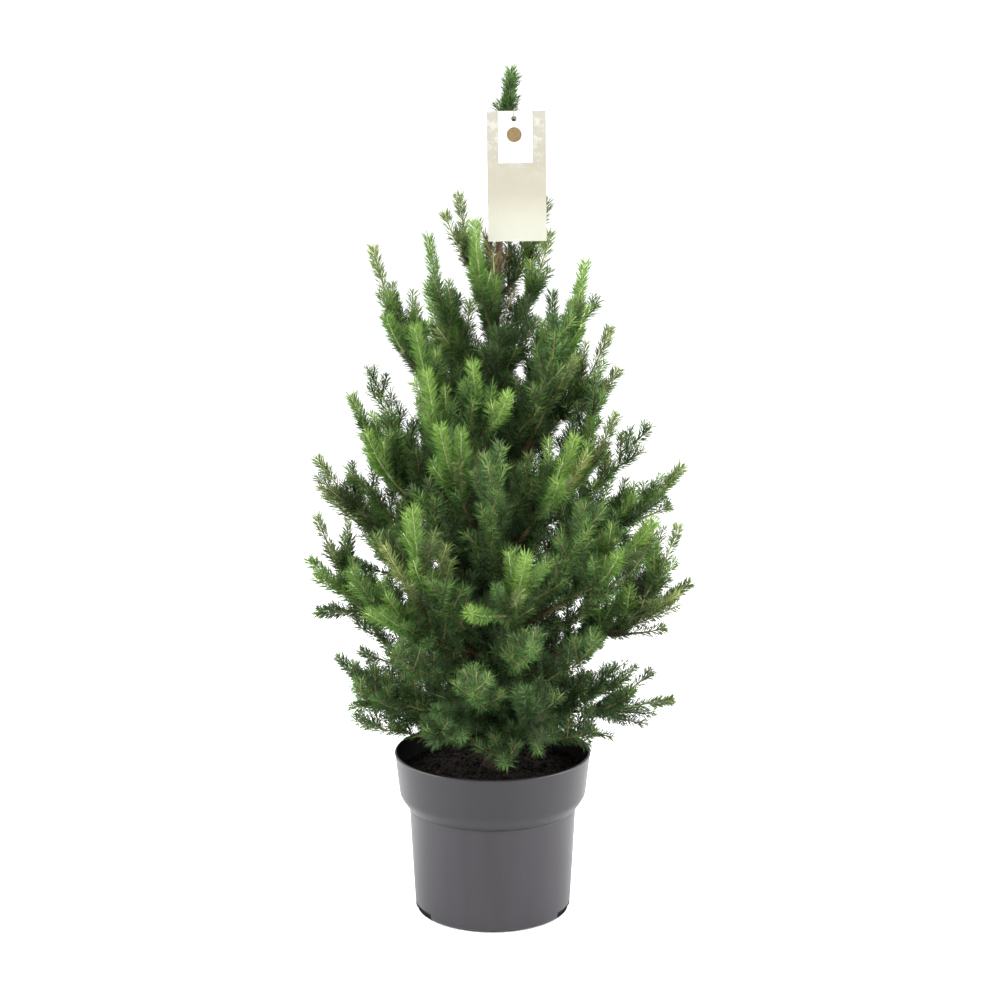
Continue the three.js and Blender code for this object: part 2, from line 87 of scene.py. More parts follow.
LIMB_SHARE, LIMB_ROOT, LIMB_TIP = 0.3, 4.2, 3.0
LEAD_LENGTH, LEAD_SHARE = 105.0, 0.6
SIDE_FIRST, SIDE_PITCH, SIDE_LAST = 20.0, 22.0, 58.0
SIDE_LEAST, SIDE_SHARE, SIDE_LONGEST = 28.0, 0.6, 90.0
SIDE_ANGLE, SIDE_SPREAD, SHOOT_RISE = 26.0, 16.0, 0.1
FORK_OUT, FORK_UP = 0.65, 0.35      # how far out and up a fork is half way
SEED_FIRST, SEED_STEP = 7100, 13


@dataclass
class Tier:
    """Boughs that bend alike, with side shoots that turn up by lift and are as long as side
    says. A row is bearing, foot height, reach and tip height, and then its forks, each with
    its place on the bough, bearing, reach and tip height."""
    name: str
    limbs: bool
    bend_out: float
    bend_up: float
    lift: float
    side: float
    rows: list


TIERS = [
    Tier("crown", False, 0.75, 0.3, 0.8, 0.6, [
        (250, 560, 48, 679), (206, 505, 66, 664), (129, 588, 51, 696, (0.4, 167, 46, 680)),
        (38, 598, 66, 689), (3, 556, 54, 664), (92, 545, 64, 652)]),
    Tier("upper", True, 0.72, 0.32, 0.7, 0.7, [
        (185, 452, 112, 651, (0.5, 200, 104, 588)),
        (331, 411, 98, 642),
        (14, 428, 116, 570, (0.45, 2, 120, 533), (0.35, 46, 83, 601)),
        (222, 414, 96, 584),
        (260, 438, 101, 554, (0.45, 277, 116, 527))]),
    Tier("rear", False, 0.72, 0.32, 0.7, 0.7, [(130, 470, 98, 606, (0.4, 105, 84, 588))]),
    Tier("middle", True, 0.68, 0.34, 0.6, 0.85, [
        (180, 346, 134, 510, (0.45, 211, 135, 485)),
        (250, 362, 138, 502, (0.42, 238, 112, 548), (0.5, 258, 132, 498)),
        (306, 346, 128, 488, (0.5, 293, 152, 453), (0.4, 338, 125, 500)),
        (10, 322, 186, 434, (0.55, 20, 184, 388)),
        (72, 362, 138, 512, (0.4, 52, 118, 540)),
        (142, 338, 138, 474, (0.45, 118, 128, 520))]),
    Tier("lower", True, 0.62, 0.36, 0.4, 0.95, [
        (178, 296, 168, 448, (0.55, 166, 166, 404)),
        (190, 246, 176, 357, (0.55, 187, 168, 398), (0.6, 202, 176, 314)),
        (234, 254, 174, 334, (0.45, 244, 162, 432), (0.5, 222, 172, 366)),
        (280, 264, 175, 393, (0.5, 263, 169, 340)),
        (326, 272, 180, 410, (0.5, 312, 170, 382)),
        (355, 236, 190, 331, (0.55, 343, 182, 396), (0.5, 346, 168, 292)),
        (42, 266, 182, 392, (0.5, 58, 170, 418)),
        (90, 252, 176, 350, (0.5, 78, 166, 400), (0.5, 104, 170, 384)),
        (136, 260, 176, 366, (0.5, 124, 160, 414), (0.55, 150, 172, 330))]),
    Tier("skirt", False, 0.6, 0.5, 0.0, 0.9, [
        (250, 204, 150, 240, (0.5, 245, 131, 202)),
        (294, 194, 140, 214, (0.5, 282, 148, 262)),
        (352, 190, 175, 216, (0.5, 10, 158, 231), (0.45, 330, 150, 240)),
        (198, 192, 136, 222, (0.5, 193, 152, 264), (0.5, 220, 140, 236)),
        (56, 200, 150, 236, (0.5, 38, 152, 262), (0.5, 78, 146, 226)),
        (128, 198, 150, 232, (0.5, 105, 150, 262), (0.5, 152, 150, 240))]),
]
LEADER = Tier("leader", False, 0.5, 0.5, 2.5, 0.75, [])

# ---------------- finer growth than the source's
TWIG_FIRST, TWIG_PITCH = 7.0, 8.0   # along a shoot
TWIG_ENDS = {0: 0.3, 1: 0.38, 3: 0.6}                # share of its length, by its order
LEADER_TWIG_END = 0.75
TWIG_LEAST, TWIG_SHARE, TWIG_LONGEST = 12.0, 0.3, 28.0
TWIG_ANGLE, TWIG_SPREAD, TWIG_LIFT, TWIG_JITTER = 28.0, 14.0, 0.6, 24.0
INNER_FOOT, INNER_TOP = 158.0, 520.0                    # heights where the inner boughs start
INNER_PITCH_LOW, INNER_PITCH_HIGH = 3.0, 11.0
INNER_SIDE_PITCH, INNER_SIDE_ROOT, INNER_SIDE_TIP = 10.5, 46.0, 28.0
LIMB_FILL_END, LIMB_FILL_PITCH = 0.6, 14.0              # dark shoots on the boughs themselves
STEM_FILL_PITCH = 6.0                                   # and on the trunk
FILL_ANGLE, FILL_SPREAD, FILL_JITTER = 42.0, 22.0, 30.0
FILL_START, FILL_STOP = 8.0, 6.0                        # bare stretches at a stem's ends
INNER_HEIGHTS = (160, 230, 400, 460, 520)
INNER_REACHES = (122, 154, 122, 70, 38)
INNER_RISES = (0.2, 0.5, 1.2, 1.6, 2.0)                 # how far they rise for their reach
INNER_OUT, INNER_UP = 0.65, 0.3                         # how far out and up they are half way
DEAD_FOOT, DEAD_TOP, DEAD_PITCH = 500.0, 680.0, 16.0    # browned twigs high on the trunk
DEAD_LEAST, DEAD_LONGEST = 26.0, 52.0
GREEN_FOOT = 650.0                                      # where the trunk's own needles turn green
OWN_SPACE_SLACK = 9.0               # how far a fine twig may lean into a neighbour's space
TIP_ROOM = 4.0                      # between a shoot's tip and the pot or the label
CORE_REACH = 45.0                   # this close to the axis a shoot's tip always has room
ROUND_TWO_SCALE = 0.85              # how long the second round of side shoots is
OLD_WOOD_FRESH = 0.4                # how fresh old wood's needles are, for its leading shoot's
STEM_ROOT = {"old": 2.4, "inner": 1.6, "lead": 1.4, "side": 1.1, "fill": 1.0, "twig": 0.8}
OLIVE_SHARE = 0.24                  # of the side shoots

# How fresh and of what sort of green (0 full, 1 olive) each bough's leading shoots are: its
# own, then its forks'.
LEAD_LOOKS = {
    "crown_1": ((0.66, 0),), "crown_2": ((0.42, 0),), "crown_3": ((0.4, 1), (0.5, 1)),
    "crown_4": ((0.25, 1),), "crown_5": ((0.5, 1),), "crown_6": ((0.35, 1),),
    "upper_1": ((0.42, 1), (0.46, 0)), "upper_2": ((0.6, 0),),
    "upper_3": ((0.45, 1), (0.42, 1), (0.15, 0)), "upper_4": ((0.5, 0),),
    "upper_5": ((0.62, 0), (0.8, 0)), "rear_1": ((0.5, 0), (0.35, 1)),
    "middle_1": ((0.5, 1), (0.66, 0)), "middle_2": ((0.62, 0), (0.66, 0), (0.52, 0)),
    "middle_3": ((0.76, 0), (0.62, 0), (0.45, 1)), "middle_4": ((0.48, 1), (0.4, 1)),
    "middle_5": ((0.6, 0), (0.45, 1)), "middle_6": ((0.5, 0), (0.7, 0)),
    "lower_1": ((0.46, 1), (0.38, 1)), "lower_2": ((0.5, 0), (0.45, 1), (0.25, 0)),
    "lower_3": ((0.52, 0), (0.66, 0), (0.4, 0)), "lower_4": ((0.86, 0), (0.74, 0)),
    "lower_5": ((0.84, 0), (0.66, 0)), "lower_6": ((0.42, 1), (0.46, 1), (0.4, 1)),
    "lower_7": ((0.6, 0), (0.4, 1)), "lower_8": ((0.75, 0), (0.5, 0), (0.42, 1)),
    "lower_9": ((0.45, 1), (0.66, 0), (0.35, 0)),
    "skirt_1": ((0.16, 0), (0.12, 0)), "skirt_2": ((0.12, 0), (0.2, 0)),
    "skirt_3": ((0.46, 1), (0.3, 1), (0.25, 0)), "skirt_4": ((0.3, 0), (0.25, 0), (0.22, 0)),
    "skirt_5": ((0.3, 0), (0.35, 1), (0.25, 0)), "skirt_6": ((0.25, 0), (0.3, 0), (0.35, 1)),
    "leader": ((0.3, 0),),
}
TIER_PAINTED_LIGHT = {"crown": 1.25, "skirt": 0.5}          # painted light: factor on how light a tier's side shoots are painted, lighter in the crown and darker in the skirt, as the light falls from above

NEEDLE_LENGTH, NEEDLE_WIDTH = 10.2, 0.9
NEEDLE_WAIST, NEEDLE_FOLD, NEEDLE_FACES = 0.42, 0.7, 2
NEEDLE_PITCHES = {-1: 0.26, 0: 0.15, 1: 0.24, 2: 0.28, 3: 0.48, 4: 0.5}     # by a shoot's order
LEAD_NEEDLES = 1.14                 # how much longer the leading shoots' needles are
PAINTED_HEIGHT_LIGHT = 0.36                 # painted light: how much lighter the needles are painted at the top, where more light falls, than at the foot
PAINTED_INNER_SHADE, PAINTED_INNER_SHADE_REACH = 0.2, 85.0        # painted shade: needles near the trunk are painted darker, for the shade deep inside the crown
CLUB_START, BARE_SHARE = 0.7, 0.42  # olive leading shoots are thinly clothed below their club
TIP_NEEDLES = 4.5                   # the last needles stand out this far past their twig
NEEDLE_SPREAD, LEAN_SPREAD, SHADE_SPREAD = 16, 8, 0.07          # random, as standard deviations
NEEDLE_LEANS = (26, 56, 44)         # degrees off the twig: at its tip, and over it from root to tip
SHADES = 6                          # of each kind of needle
PIECE_LIMIT = 190_000               # triangles in one joined piece


# ---------------- small helpers
def unit(vectors):
    return vectors / np.linalg.norm(vectors, axis=-1, keepdims=True)


def mix(a, b, t):
    return a + (b - a) * t


def numbers(seed):
    """The source's numbered random sequence."""
    state = seed
    while True:
        state = (state * 1664525 + 1013904223) % 2**32
        yield state / 2**32


def lumps(points, size, seed=0):
    """Smooth random values from -1 to 1 over space, that change over about the given size."""
    scaled = np.asarray(points, float) / size
    cell = np.floor(scaled).astype(np.int64)
    part = scaled - cell
    part = part * part * (3 - 2 * part)
    total = np.zeros(part.shape[:-1])
    for corner in itertools.product((0, 1), repeat=3):
        key = cell + corner
        code = key[..., 0] * 73856093 ^ key[..., 1] * 19349663 ^ key[..., 2] * 83492791
        code = (code + seed * 974711) & 0xFFFFFFFF
        code = ((code ^ (code >> 13)) * 1274126177) & 0xFFFFFFFF
        value = (code ^ (code >> 16)) / 2**32
        weight = np.where(corner, part, 1 - part).prod(axis=-1)
        total += weight * value
    return 2 * total - 1


def along(curves, t):
    """Points of quadratic curves, given as (..., 3, 3), at parameter t."""
    t = np.asarray(t, float)[..., None]
    a, b, c = curves[..., 0, :], curves[..., 1, :], curves[..., 2, :]
    return (1 - t) ** 2 * a + 2 * t * (1 - t) * b + t**2 * c


def heading(curves, t):
    t = np.asarray(t, float)[..., None]
    a, b, c = curves[..., 0, :], curves[..., 1, :], curves[..., 2, :]
    return unit((1 - t) * (b - a) + t * (c - b))


def curve_length(curve):
    points = along(curve, np.linspace(0, 1, 65))
    return float(np.linalg.norm(np.diff(points, axis=0), axis=1).sum())


def part_of(curve, start, end):
    """The stretch of a quadratic curve between two values of its parameter."""
    first, last = along(curve, start), along(curve, end)
    a, b, c = curve
    middle = mix(mix(a, b, start), mix(b, c, start), end)
    return np.array([first, middle, last])


def level_sides(headings):
    """Level directions square to the headings."""
    side = np.stack([headings[..., 1], -headings[..., 0], np.zeros(headings.shape[:-1])], -1)
    size = np.linalg.norm(side, axis=-1, keepdims=True)
    return np.where(size > 0.02, side / np.maximum(size, 1e-9), np.array([0.0, 1.0, 0.0]))


def cross_frames(tangents, sides):
    """Two directions square to each tangent, the first as near as can be to its side."""
    flat = unit(sides - tangents * (sides * tangents).sum(-1, keepdims=True))
    return flat, unit(np.cross(flat, tangents))


# ---------------- meshes from arrays
def linked(name, data):
    """A new object in the scene, with the given mesh, curve, light or camera."""
    thing = bpy.data.objects.new(name, data)
    bpy.context.scene.collection.objects.link(thing)
    return thing


def evaluated_mesh(thing):
    """The mesh of an object as its modifiers or its curve's bevel leave it."""
    bpy.context.view_layer.update()
    return bpy.data.meshes.new_from_object(
        thing.evaluated_get(bpy.context.evaluated_depsgraph_get()))


def add_piece(name, points, faces, materials, face_material=None, smooth=True):
    """A mesh object on the plant's body, from points in millimetres and an array of faces."""
    mesh = bpy.data.meshes.new(name)
    mesh.vertices.add(len(points))
    mesh.vertices.foreach_set("co", (np.asarray(points) * MM).astype(np.float32).ravel())
    mesh.loops.add(faces.size)
    mesh.loops.foreach_set("vertex_index", faces.astype(np.int32).ravel())
    mesh.polygons.add(len(faces))
    mesh.polygons.foreach_set("loop_start", np.arange(0, faces.size, faces.shape[1], dtype=np.int32))
    for material in materials:
        mesh.materials.append(material)
    if face_material is not None:
        mesh.polygons.foreach_set("material_index", face_material.astype(np.int32))
    mesh.polygons.foreach_set("use_smooth", np.full(len(faces), smooth))
    mesh.update()
    mesh.validate()
    piece = linked(name, mesh)
    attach(piece, "root")
    return piece


def skin_faces(count, sides):
    """Faces of a skin of rings in rows, closed by fans to one last point at either end."""
    ring, corner = np.meshgrid(np.arange(count - 1), np.arange(sides), indexing="ij")
    here = (ring * sides + corner).ravel()
    beside = (ring * sides + (corner + 1) % sides).ravel()
    spoke = np.arange(sides)
    after = (spoke + 1) % sides
    last_ring, first, last = (count - 1) * sides, count * sides, count * sides + 1
    return np.concatenate([
        np.stack([here, beside, beside + sides], -1),
        np.stack([here, beside + sides, here + sides], -1),
        np.stack([after, spoke, np.full(sides, first)], -1),
        np.stack([last_ring + spoke, last_ring + after, np.full(sides, last)], -1)])


def tube_parts(rings, radii, side, sides):
    """Points and faces of closed tubes. rings is (tubes, rings, 3), radii (tubes, rings) or
    (tubes, rings, sides), side (tubes, 3); each tube ends in a point on its axis."""
    tubes, count = rings.shape[:2]
    tangents = unit(np.gradient(rings, axis=1))
    flat, over = cross_frames(tangents, np.repeat(side[:, None], count, axis=1))
    angle = np.arange(sides) * 2 * np.pi / sides
    outward = (flat[:, :, None] * np.cos(angle)[:, None]
               - over[:, :, None] * np.sin(angle)[:, None])
    radii = radii if radii.ndim == 3 else np.repeat(radii[:, :, None], sides, axis=2)
    skin = rings[:, :, None] + outward * radii[..., None]
    points = np.concatenate([skin.reshape(tubes, -1, 3), rings[:, :1], rings[:, -1:]], axis=1)
    shift = (np.arange(tubes) * (count * sides + 2))[:, None, None]
    return points.reshape(-1, 3), (skin_faces(count, sides)[None] + shift).reshape(-1, 3)


def needle_parts(base, direction, length, spin):
    """Points and faces of needles: narrow blades, widest nearer the root, folded on a ridge."""
    flat, over = cross_frames(direction, level_sides(direction))
    side = flat * np.cos(spin)[:, None] + over * np.sin(spin)[:, None]
    ridge = np.cross(direction, side)
    half = NEEDLE_WIDTH / 2
    waist = base + direction * (NEEDLE_WAIST * length)[:, None] - ridge * half * NEEDLE_FOLD
    tip = base + direction * length[:, None]
    points = np.stack([base, waist + side * half, tip, waist - side * half], axis=1)
    one = np.array([[0, 1, 2], [0, 2, 3]])
    faces = one[None] + (np.arange(len(base)) * 4)[:, None, None]
    return points.reshape(-1, 3), faces.reshape(-1, 3)


# ---------------- materials
def srgb(red, green, blue):
    """Linear colour of an sRGB triple from 0 to 255."""
    def linear(value):
        value /= 255
        return value / 12.92 if value <= 0.04045 else ((value + 0.055) / 1.055) ** 2.4
    return (linear(red), linear(green), linear(blue), 1.0)


def plain(name, colour, roughness, specular=0.5):
    material = bpy.data.materials.new(name)
    material.use_nodes = True
    shader = material.node_tree.nodes["Principled BSDF"]
    shader.inputs["Base Color"].default_value = srgb(*colour)
    shader.inputs["Roughness"].default_value = roughness
    shader.inputs["Specular IOR Level"].default_value = specular
    return material


class Nodes:
    """A short way to write a material's nodes."""

    def __init__(self, name, roughness=0.5, specular=0.5):
        self.material = plain(name, (128, 128, 128), roughness, specular)
        self.tree = self.material.node_tree
        self.shader = self.tree.nodes["Principled BSDF"]
        self.place = self.tree.nodes.new("ShaderNodeTexCoord").outputs["Object"]

    def add(self, kind, **sockets):
        node = self.tree.nodes.new(kind)
        for name, value in sockets.items():
            self.feed(node.inputs[name.replace("_", " ")], value)
        return node

    def feed(self, target, value):
        if isinstance(value, bpy.types.NodeSocket):
            self.tree.links.new(value, target)
        else:
            target.default_value = value

    def stretched(self, x, y, z):
        return self.add("ShaderNodeMapping", Vector=self.place, Scale=(x, y, z)).outputs["Vector"]

    def height(self, low, high):
        """0 to 1 between two heights in millimetres."""
        split = self.add("ShaderNodeSeparateXYZ", Vector=self.place)
        node = self.add("ShaderNodeMapRange", Value=split.outputs["Z"],
                        From_Min=low * MM, From_Max=high * MM)
        return node.outputs["Result"]

    def noise(self, scale, detail=4.0, place=None, roughness=0.55):
        node = self.add("ShaderNodeTexNoise", Vector=place or self.place,
                        Scale=scale, Detail=detail, Roughness=roughness)
        return node.outputs["Fac"]

    def ramp(self, fac, *stops):
        node = self.add("ShaderNodeValToRGB", Fac=fac)
        points = node.color_ramp.elements
        while len(points) < len(stops):
            points.new(0.5)
        for point, (position, colour) in zip(points, stops):
            point.position = position
            point.color = srgb(*colour)
        return node.outputs["Color"]

    def blend(self, fac, one, two, mode="MIX"):
        node = self.tree.nodes.new("ShaderNodeMix")
        node.data_type = "RGBA"
        node.blend_type = mode
        for socket, value in (("Factor", fac), (6, one), (7, two)):
            self.feed(node.inputs[socket], value)
        return node.outputs[2]

    def spread(self, fac, low, high):
        node = self.add("ShaderNodeMapRange", Value=fac, To_Min=low, To_Max=high)
        return node.outputs["Result"]

    def bump(self, height, strength, distance):
        node = self.add("ShaderNodeBump", Height=height, Strength=strength, Distance=distance)
        self.feed(self.shader.inputs["Normal"], node.outputs["Normal"])

    def colour(self, socket):
        self.feed(self.shader.inputs["Base Color"], socket)

    def roughness(self, socket):
        self.feed(self.shader.inputs["Roughness"], socket)


def mottled(name, roughness, specular, noise, stops, stretch=None, bump=None):
    """A material whose colour follows one noise, and its relief too where bump is given."""
    look = Nodes(name, roughness, specular)
    pattern = look.noise(*noise, look.stretched(*stretch) if stretch else None)
    look.colour(look.ramp(pattern, *stops))
    if bump:
        look.bump(pattern, *bump)
    return look.material


def pot_plastic():
    """Satin grey polypropylene with faint upright flow streaks."""
    look = Nodes("pot_plastic", roughness=0.42, specular=0.31)
    streaks = look.noise(1.0, 3.0, look.stretched(70, 70, 5))
    cloud = look.noise(9.0, 2.0)
    grey = look.ramp(streaks, (0.3, (31, 29, 33)), (0.7, (41, 39, 43)))
    mottled = look.ramp(cloud, (0.3, (34, 32, 36)), (0.7, (38, 36, 40)))
    # Painted shade: the shoulder under the rim band is darkened so that it shows no bright reflection
    # of the floor, and the band and rim above it are a little darker too.
    shoulder_shade_band_tone = look.ramp(look.height(POT_BODY_TOP[1], POT_HEIGHT), (0.0, (255, 255, 255)),
                     (0.03, (206, 206, 208)), (0.27, (206, 206, 208)), (0.32, (214, 213, 216)))
    look.colour(look.blend(1.0, look.blend(0.5, grey, mottled), shoulder_shade_band_tone, "MULTIPLY"))
    look.roughness(look.spread(streaks, 0.36, 0.5))
    look.bump(look.noise(900.0, 2.0), 0.12, 0.0002)
    return look.material


def pot_inside():
    """The same plastic inside the pot, painted dark: partly painted shade under the foliage, partly
    stained with damp peat.
    """
    return mottled("pot_inside", 0.9, 0.05, (60.0, 4.0), ((0.3, (14, 13, 13)), (0.7, (24, 22, 22))))


def soil_peat():
    return mottled("soil_peat", 0.95, 0.15, (420.0, 6.0),
                   ((0.3, (12, 10, 8)), (0.5, (22, 18, 15)), (0.75, (38, 31, 26))), bump=(0.8, 0.0012))


def bark_brown():
    look = Nodes("bark_brown", roughness=0.88, specular=0.2)
    plates = look.noise(1.0, 5.0, look.stretched(520, 520, 170))
    bark = look.ramp(plates, (0.3, (48, 38, 30)), (0.5, (77, 62, 48)), (0.72, (110, 91, 71)))
    # Painted shade: the bark is darkened towards the soil, where the crown shades the trunk's foot.
    painted_foot_shade = look.ramp(look.height(SOIL_TOP, SOIL_TOP + 160),
                     (0.0, (120, 112, 106)), (1.0, (255, 255, 255)))
    look.colour(look.blend(1.0, bark, painted_foot_shade, "MULTIPLY"))
    look.bump(plates, 0.6, 0.0008)
    return look.material


def label_card():
    """Cream card with a pale leafy print at its top, that pales to yellow-green at its foot."""
    look = Nodes("label_card", roughness=0.55, specular=0.3)
    height = look.height(LABEL_TOP - LABEL_HEIGHT, LABEL_TOP)
    fade = look.ramp(height, (0.0, (174, 175, 163)), (0.16, (167, 167, 154)), (0.36, (148, 144, 129)),
                     (0.62, (141, 137, 123)), (1.0, (144, 141, 132)))
    mottle = look.noise(60.0, 5.0)
    cloudy = look.blend(look.spread(mottle, 0.0, 0.3), fade, srgb(176, 174, 165))
    fibres = look.noise(1.0, 3.0, look.stretched(260, 260, 110))
    printed = look.blend(look.spread(fibres, 0.0, 0.16), cloudy, srgb(150, 145, 122))
    leaves = look.ramp(look.noise(110.0, 5.0, roughness=0.7), (0.5, (0, 0, 0)), (0.6, (170, 170, 170)))
    upper = look.ramp(height, (0.45, (0, 0, 0)), (0.8, (255, 255, 255)))
    look.colour(look.blend(look.blend(1.0, leaves, upper, "MULTIPLY"), printed, srgb(186, 186, 180)))
    look.bump(look.noise(1500.0, 2.0), 0.08, 0.0001)
    return look.material


def label_paper():
    """White coated paper with a faint tooth."""
    return mottled("label_white", 0.4, 0.4, (420.0, 4.0),
                   ((0.3, (205, 204, 203)), (0.7, (211, 210, 209))), bump=(0.06, 0.0001))


def label_gilt():
    return mottled("label_gilt", 0.4, 0.5, (700.0, 3.0), ((0.3, (94, 76, 46)), (0.7, (116, 97, 60))))


def tie_thread():
    """Grey cotton thread."""
    return mottled("tie_thread", 0.6, 0.4, (1.0, 4.0), ((0.3, (94, 90, 83)), (0.7, (114, 110, 101))),
                   stretch=(900, 900, 300), bump=(0.3, 0.0002))


def floor_white():
    return mottled("studio_floor", 0.9, 0.0, (2.0, 2.0),
                   ((0.0, (246, 246, 246)), (1.0, (250, 250, 250))))


NEEDLE_COLOURS = {
    "needles": (("darkest", (54, 78, 41)), ("deep", (70, 99, 49)), ("mid", (88, 122, 57)),
                ("fresh", (99, 132, 60)), ("light", (113, 144, 67)), ("lime", (127, 158, 77))),
    "olive": (("darkest", (56, 72, 42)), ("deep", (74, 92, 52)), ("mid", (94, 112, 62)),
              ("fresh", (120, 138, 78)), ("light", (130, 140, 82)), ("pale", (146, 152, 96))),
    "brown": (("darkest", (56, 46, 32)), ("deep", (72, 60, 40)), ("mid", (88, 76, 48)),
              ("fresh", (98, 90, 54)), ("light", (112, 106, 64)), ("pale", (126, 122, 76))),
}
NEEDLE_LOOKS = [
    plain(f"{kind}_{shade}", colour, 0.6, 0.2)
    for kind, shades in NEEDLE_COLOURS.items()
    for shade, colour in shades
]
STEM_LOOKS = [
    plain("stem_old", (62, 54, 40), 0.8, 0.2),
    plain("stem_tan", (112, 104, 68), 0.7, 0.25),
    plain("stem_new", (154, 160, 112), 0.6, 0.3),
]


# ---------------- trunk and boughs
def trunk_axis(z):
    z = np.asarray(z, float)
    t = (z - SOIL_TOP) / (CROWN_TOP - SOIL_TOP)
    bend = np.sin(np.pi * t)
    return np.stack([TRUNK_FOOT_X + TRUNK_LEAN * t - TRUNK_BOW * bend, TRUNK_SWAY * bend, z], -1)


def trunk_stretch(low, high):
    """The curve of the trunk between two heights."""
    return trunk_axis(np.array([low, mix(low, high, 0.5), high]))


def trunk_radius(z):
    t = np.maximum(0, (z - SOIL_TOP) / (TRUNK_TOP - SOIL_TOP))
    flare = np.clip(1 - (z - SOIL_TOP) / FLARE_HEIGHT, 0, 1)
    return mix(TRUNK_FOOT, TRUNK_TIP, t**0.85) + (FLARE_RADIUS - TRUNK_FOOT) * flare**2


@dataclass
class Bough:
    name: str
    tier: Tier
    curve: np.ndarray
    limb: float
    forks: list
    length: float
    random: object


def polar(bearing, reach, height):
    turn = math.radians(bearing)
    return np.array([reach * math.cos(turn), reach * math.sin(turn), height])


def fork_curve(curve, share, bearing, reach, tip):
    """A fork leaves its bough part way along, and bends first out, then up."""
    start = along(curve, share)
    end = polar(bearing, reach, tip)
    return np.array([start, mix(start, end, np.array([FORK_OUT, FORK_OUT, FORK_UP])), end])


def list_boughs():
    boughs = []
    for tier in TIERS:
        for index, (bearing, foot, reach, tip, *forks) in enumerate(tier.rows):
            start = trunk_axis(foot)
            end = polar(bearing, reach, tip)
            bends = np.array([tier.bend_out, tier.bend_out, tier.bend_up])
            curve = np.array([start, mix(start, end, bends), end])
            forks = [fork_curve(curve, *fork) for fork in forks]
            boughs.append((f"{tier.name}_{index + 1}", tier, curve, LIMB_SHARE * tier.limbs, forks))
    heights = (TRUNK_TOP + GAP, mix(TRUNK_TOP, CROWN_TOP, 0.5), CROWN_TOP)
    boughs.append(("leader", LEADER, trunk_axis(np.array(heights)), 0.0, []))
    return [
        Bough(*facts, curve_length(facts[2]), numbers(SEED_FIRST + SEED_STEP * index))
        for index, facts in enumerate(boughs)
    ]


BOUGHS = list_boughs()
SPOTS = [
    np.concatenate([along(curve, np.linspace(0, 1, 31)) for curve in (bough.curve, *bough.forks)])
    for bough in BOUGHS
]
SPOT_STARTS = np.cumsum([0] + [len(spots) for spots in SPOTS[:-1]])
ALL_SPOTS = np.concatenate(SPOTS)


def bough_distances(point):
    """How far a point is from each bough and its forks."""
    return np.minimum.reduceat(np.linalg.norm(ALL_SPOTS - point, axis=1), SPOT_STARTS)


def near_pot(points, room):
    over_rim = np.hypot(points[..., 0], points[..., 1]) + room > POT_RIM - POT_WALL - 2
    return points[..., 2] - room < np.where(over_rim, POT_HEIGHT + 1, SOIL_TOP + 1)


def near_label(points, room):
    low = np.array([LABEL_LEFT, LABEL_FRONT - 2, LABEL_TOP - LABEL_HEIGHT])
    high = np.array([LABEL_LEFT + LABEL_WIDTH + 2, LABEL_FRONT + 2, LABEL_TOP + 4])
    away = np.maximum(np.maximum(low - points, points - high), 0)
    return np.linalg.norm(away, axis=-1) < room + 1


def blocked(tip):
    """True where a shoot's tip comes too near the pot or the label."""
    return near_pot(tip, TIP_ROOM) or near_label(tip, TIP_ROOM)


# ---------------- shoots
@dataclass
class Shoot:
    """A twig with needles. fresh is its colour, from 0 for old and dark to 1 for new and lime; on side
    shoots and their twiglets it also holds their tier's painted light.
    """
    bough: int
    curve: np.ndarray
    length: float
    fresh: float
    root: float         # radius of its twig at the root
    stem_tip: np.ndarray
    order: int = 0      # -1 old wood, 0 leading, 1 side, 2 twiglet, 3 inside the crown, 4 its twiglet
    kind: int = 0       # 0 full green, 1 olive, 2 browned


def shoot_curve(start, direction, length, rise):
    end = start + direction * length + UP * rise * length
    return np.array([start, start + direction * length / 2, end])


def has_room(index, tip, stem_tip, slack):
    """True where a shoot's tip stays in its bough's space, off pot and label, and lower and
    further in than the tip of its bough or fork."""
    reach = max(CORE_REACH, math.hypot(stem_tip[0], stem_tip[1]) + 2)
    if blocked(tip):
        return False
    if tip[2] > stem_tip[2] - 2 or math.hypot(tip[0], tip[1]) > reach:
        return False
    distances = bough_distances(tip)
    return distances[index] <= distances.min() + slack


def branch(curve, t, turn, lean, lift):
    """The direction of a shoot that leaves a curve at t, turned round it and leaning off it."""
    tangent = heading(curve, t)
    side, over = cross_frames(tangent, level_sides(tangent))
    radial = side * math.cos(math.radians(turn)) + over * math.sin(math.radians(turn))
    lean = math.radians(lean)
    return unit(tangent * math.cos(lean) + radial * math.sin(lean) + UP * lift)


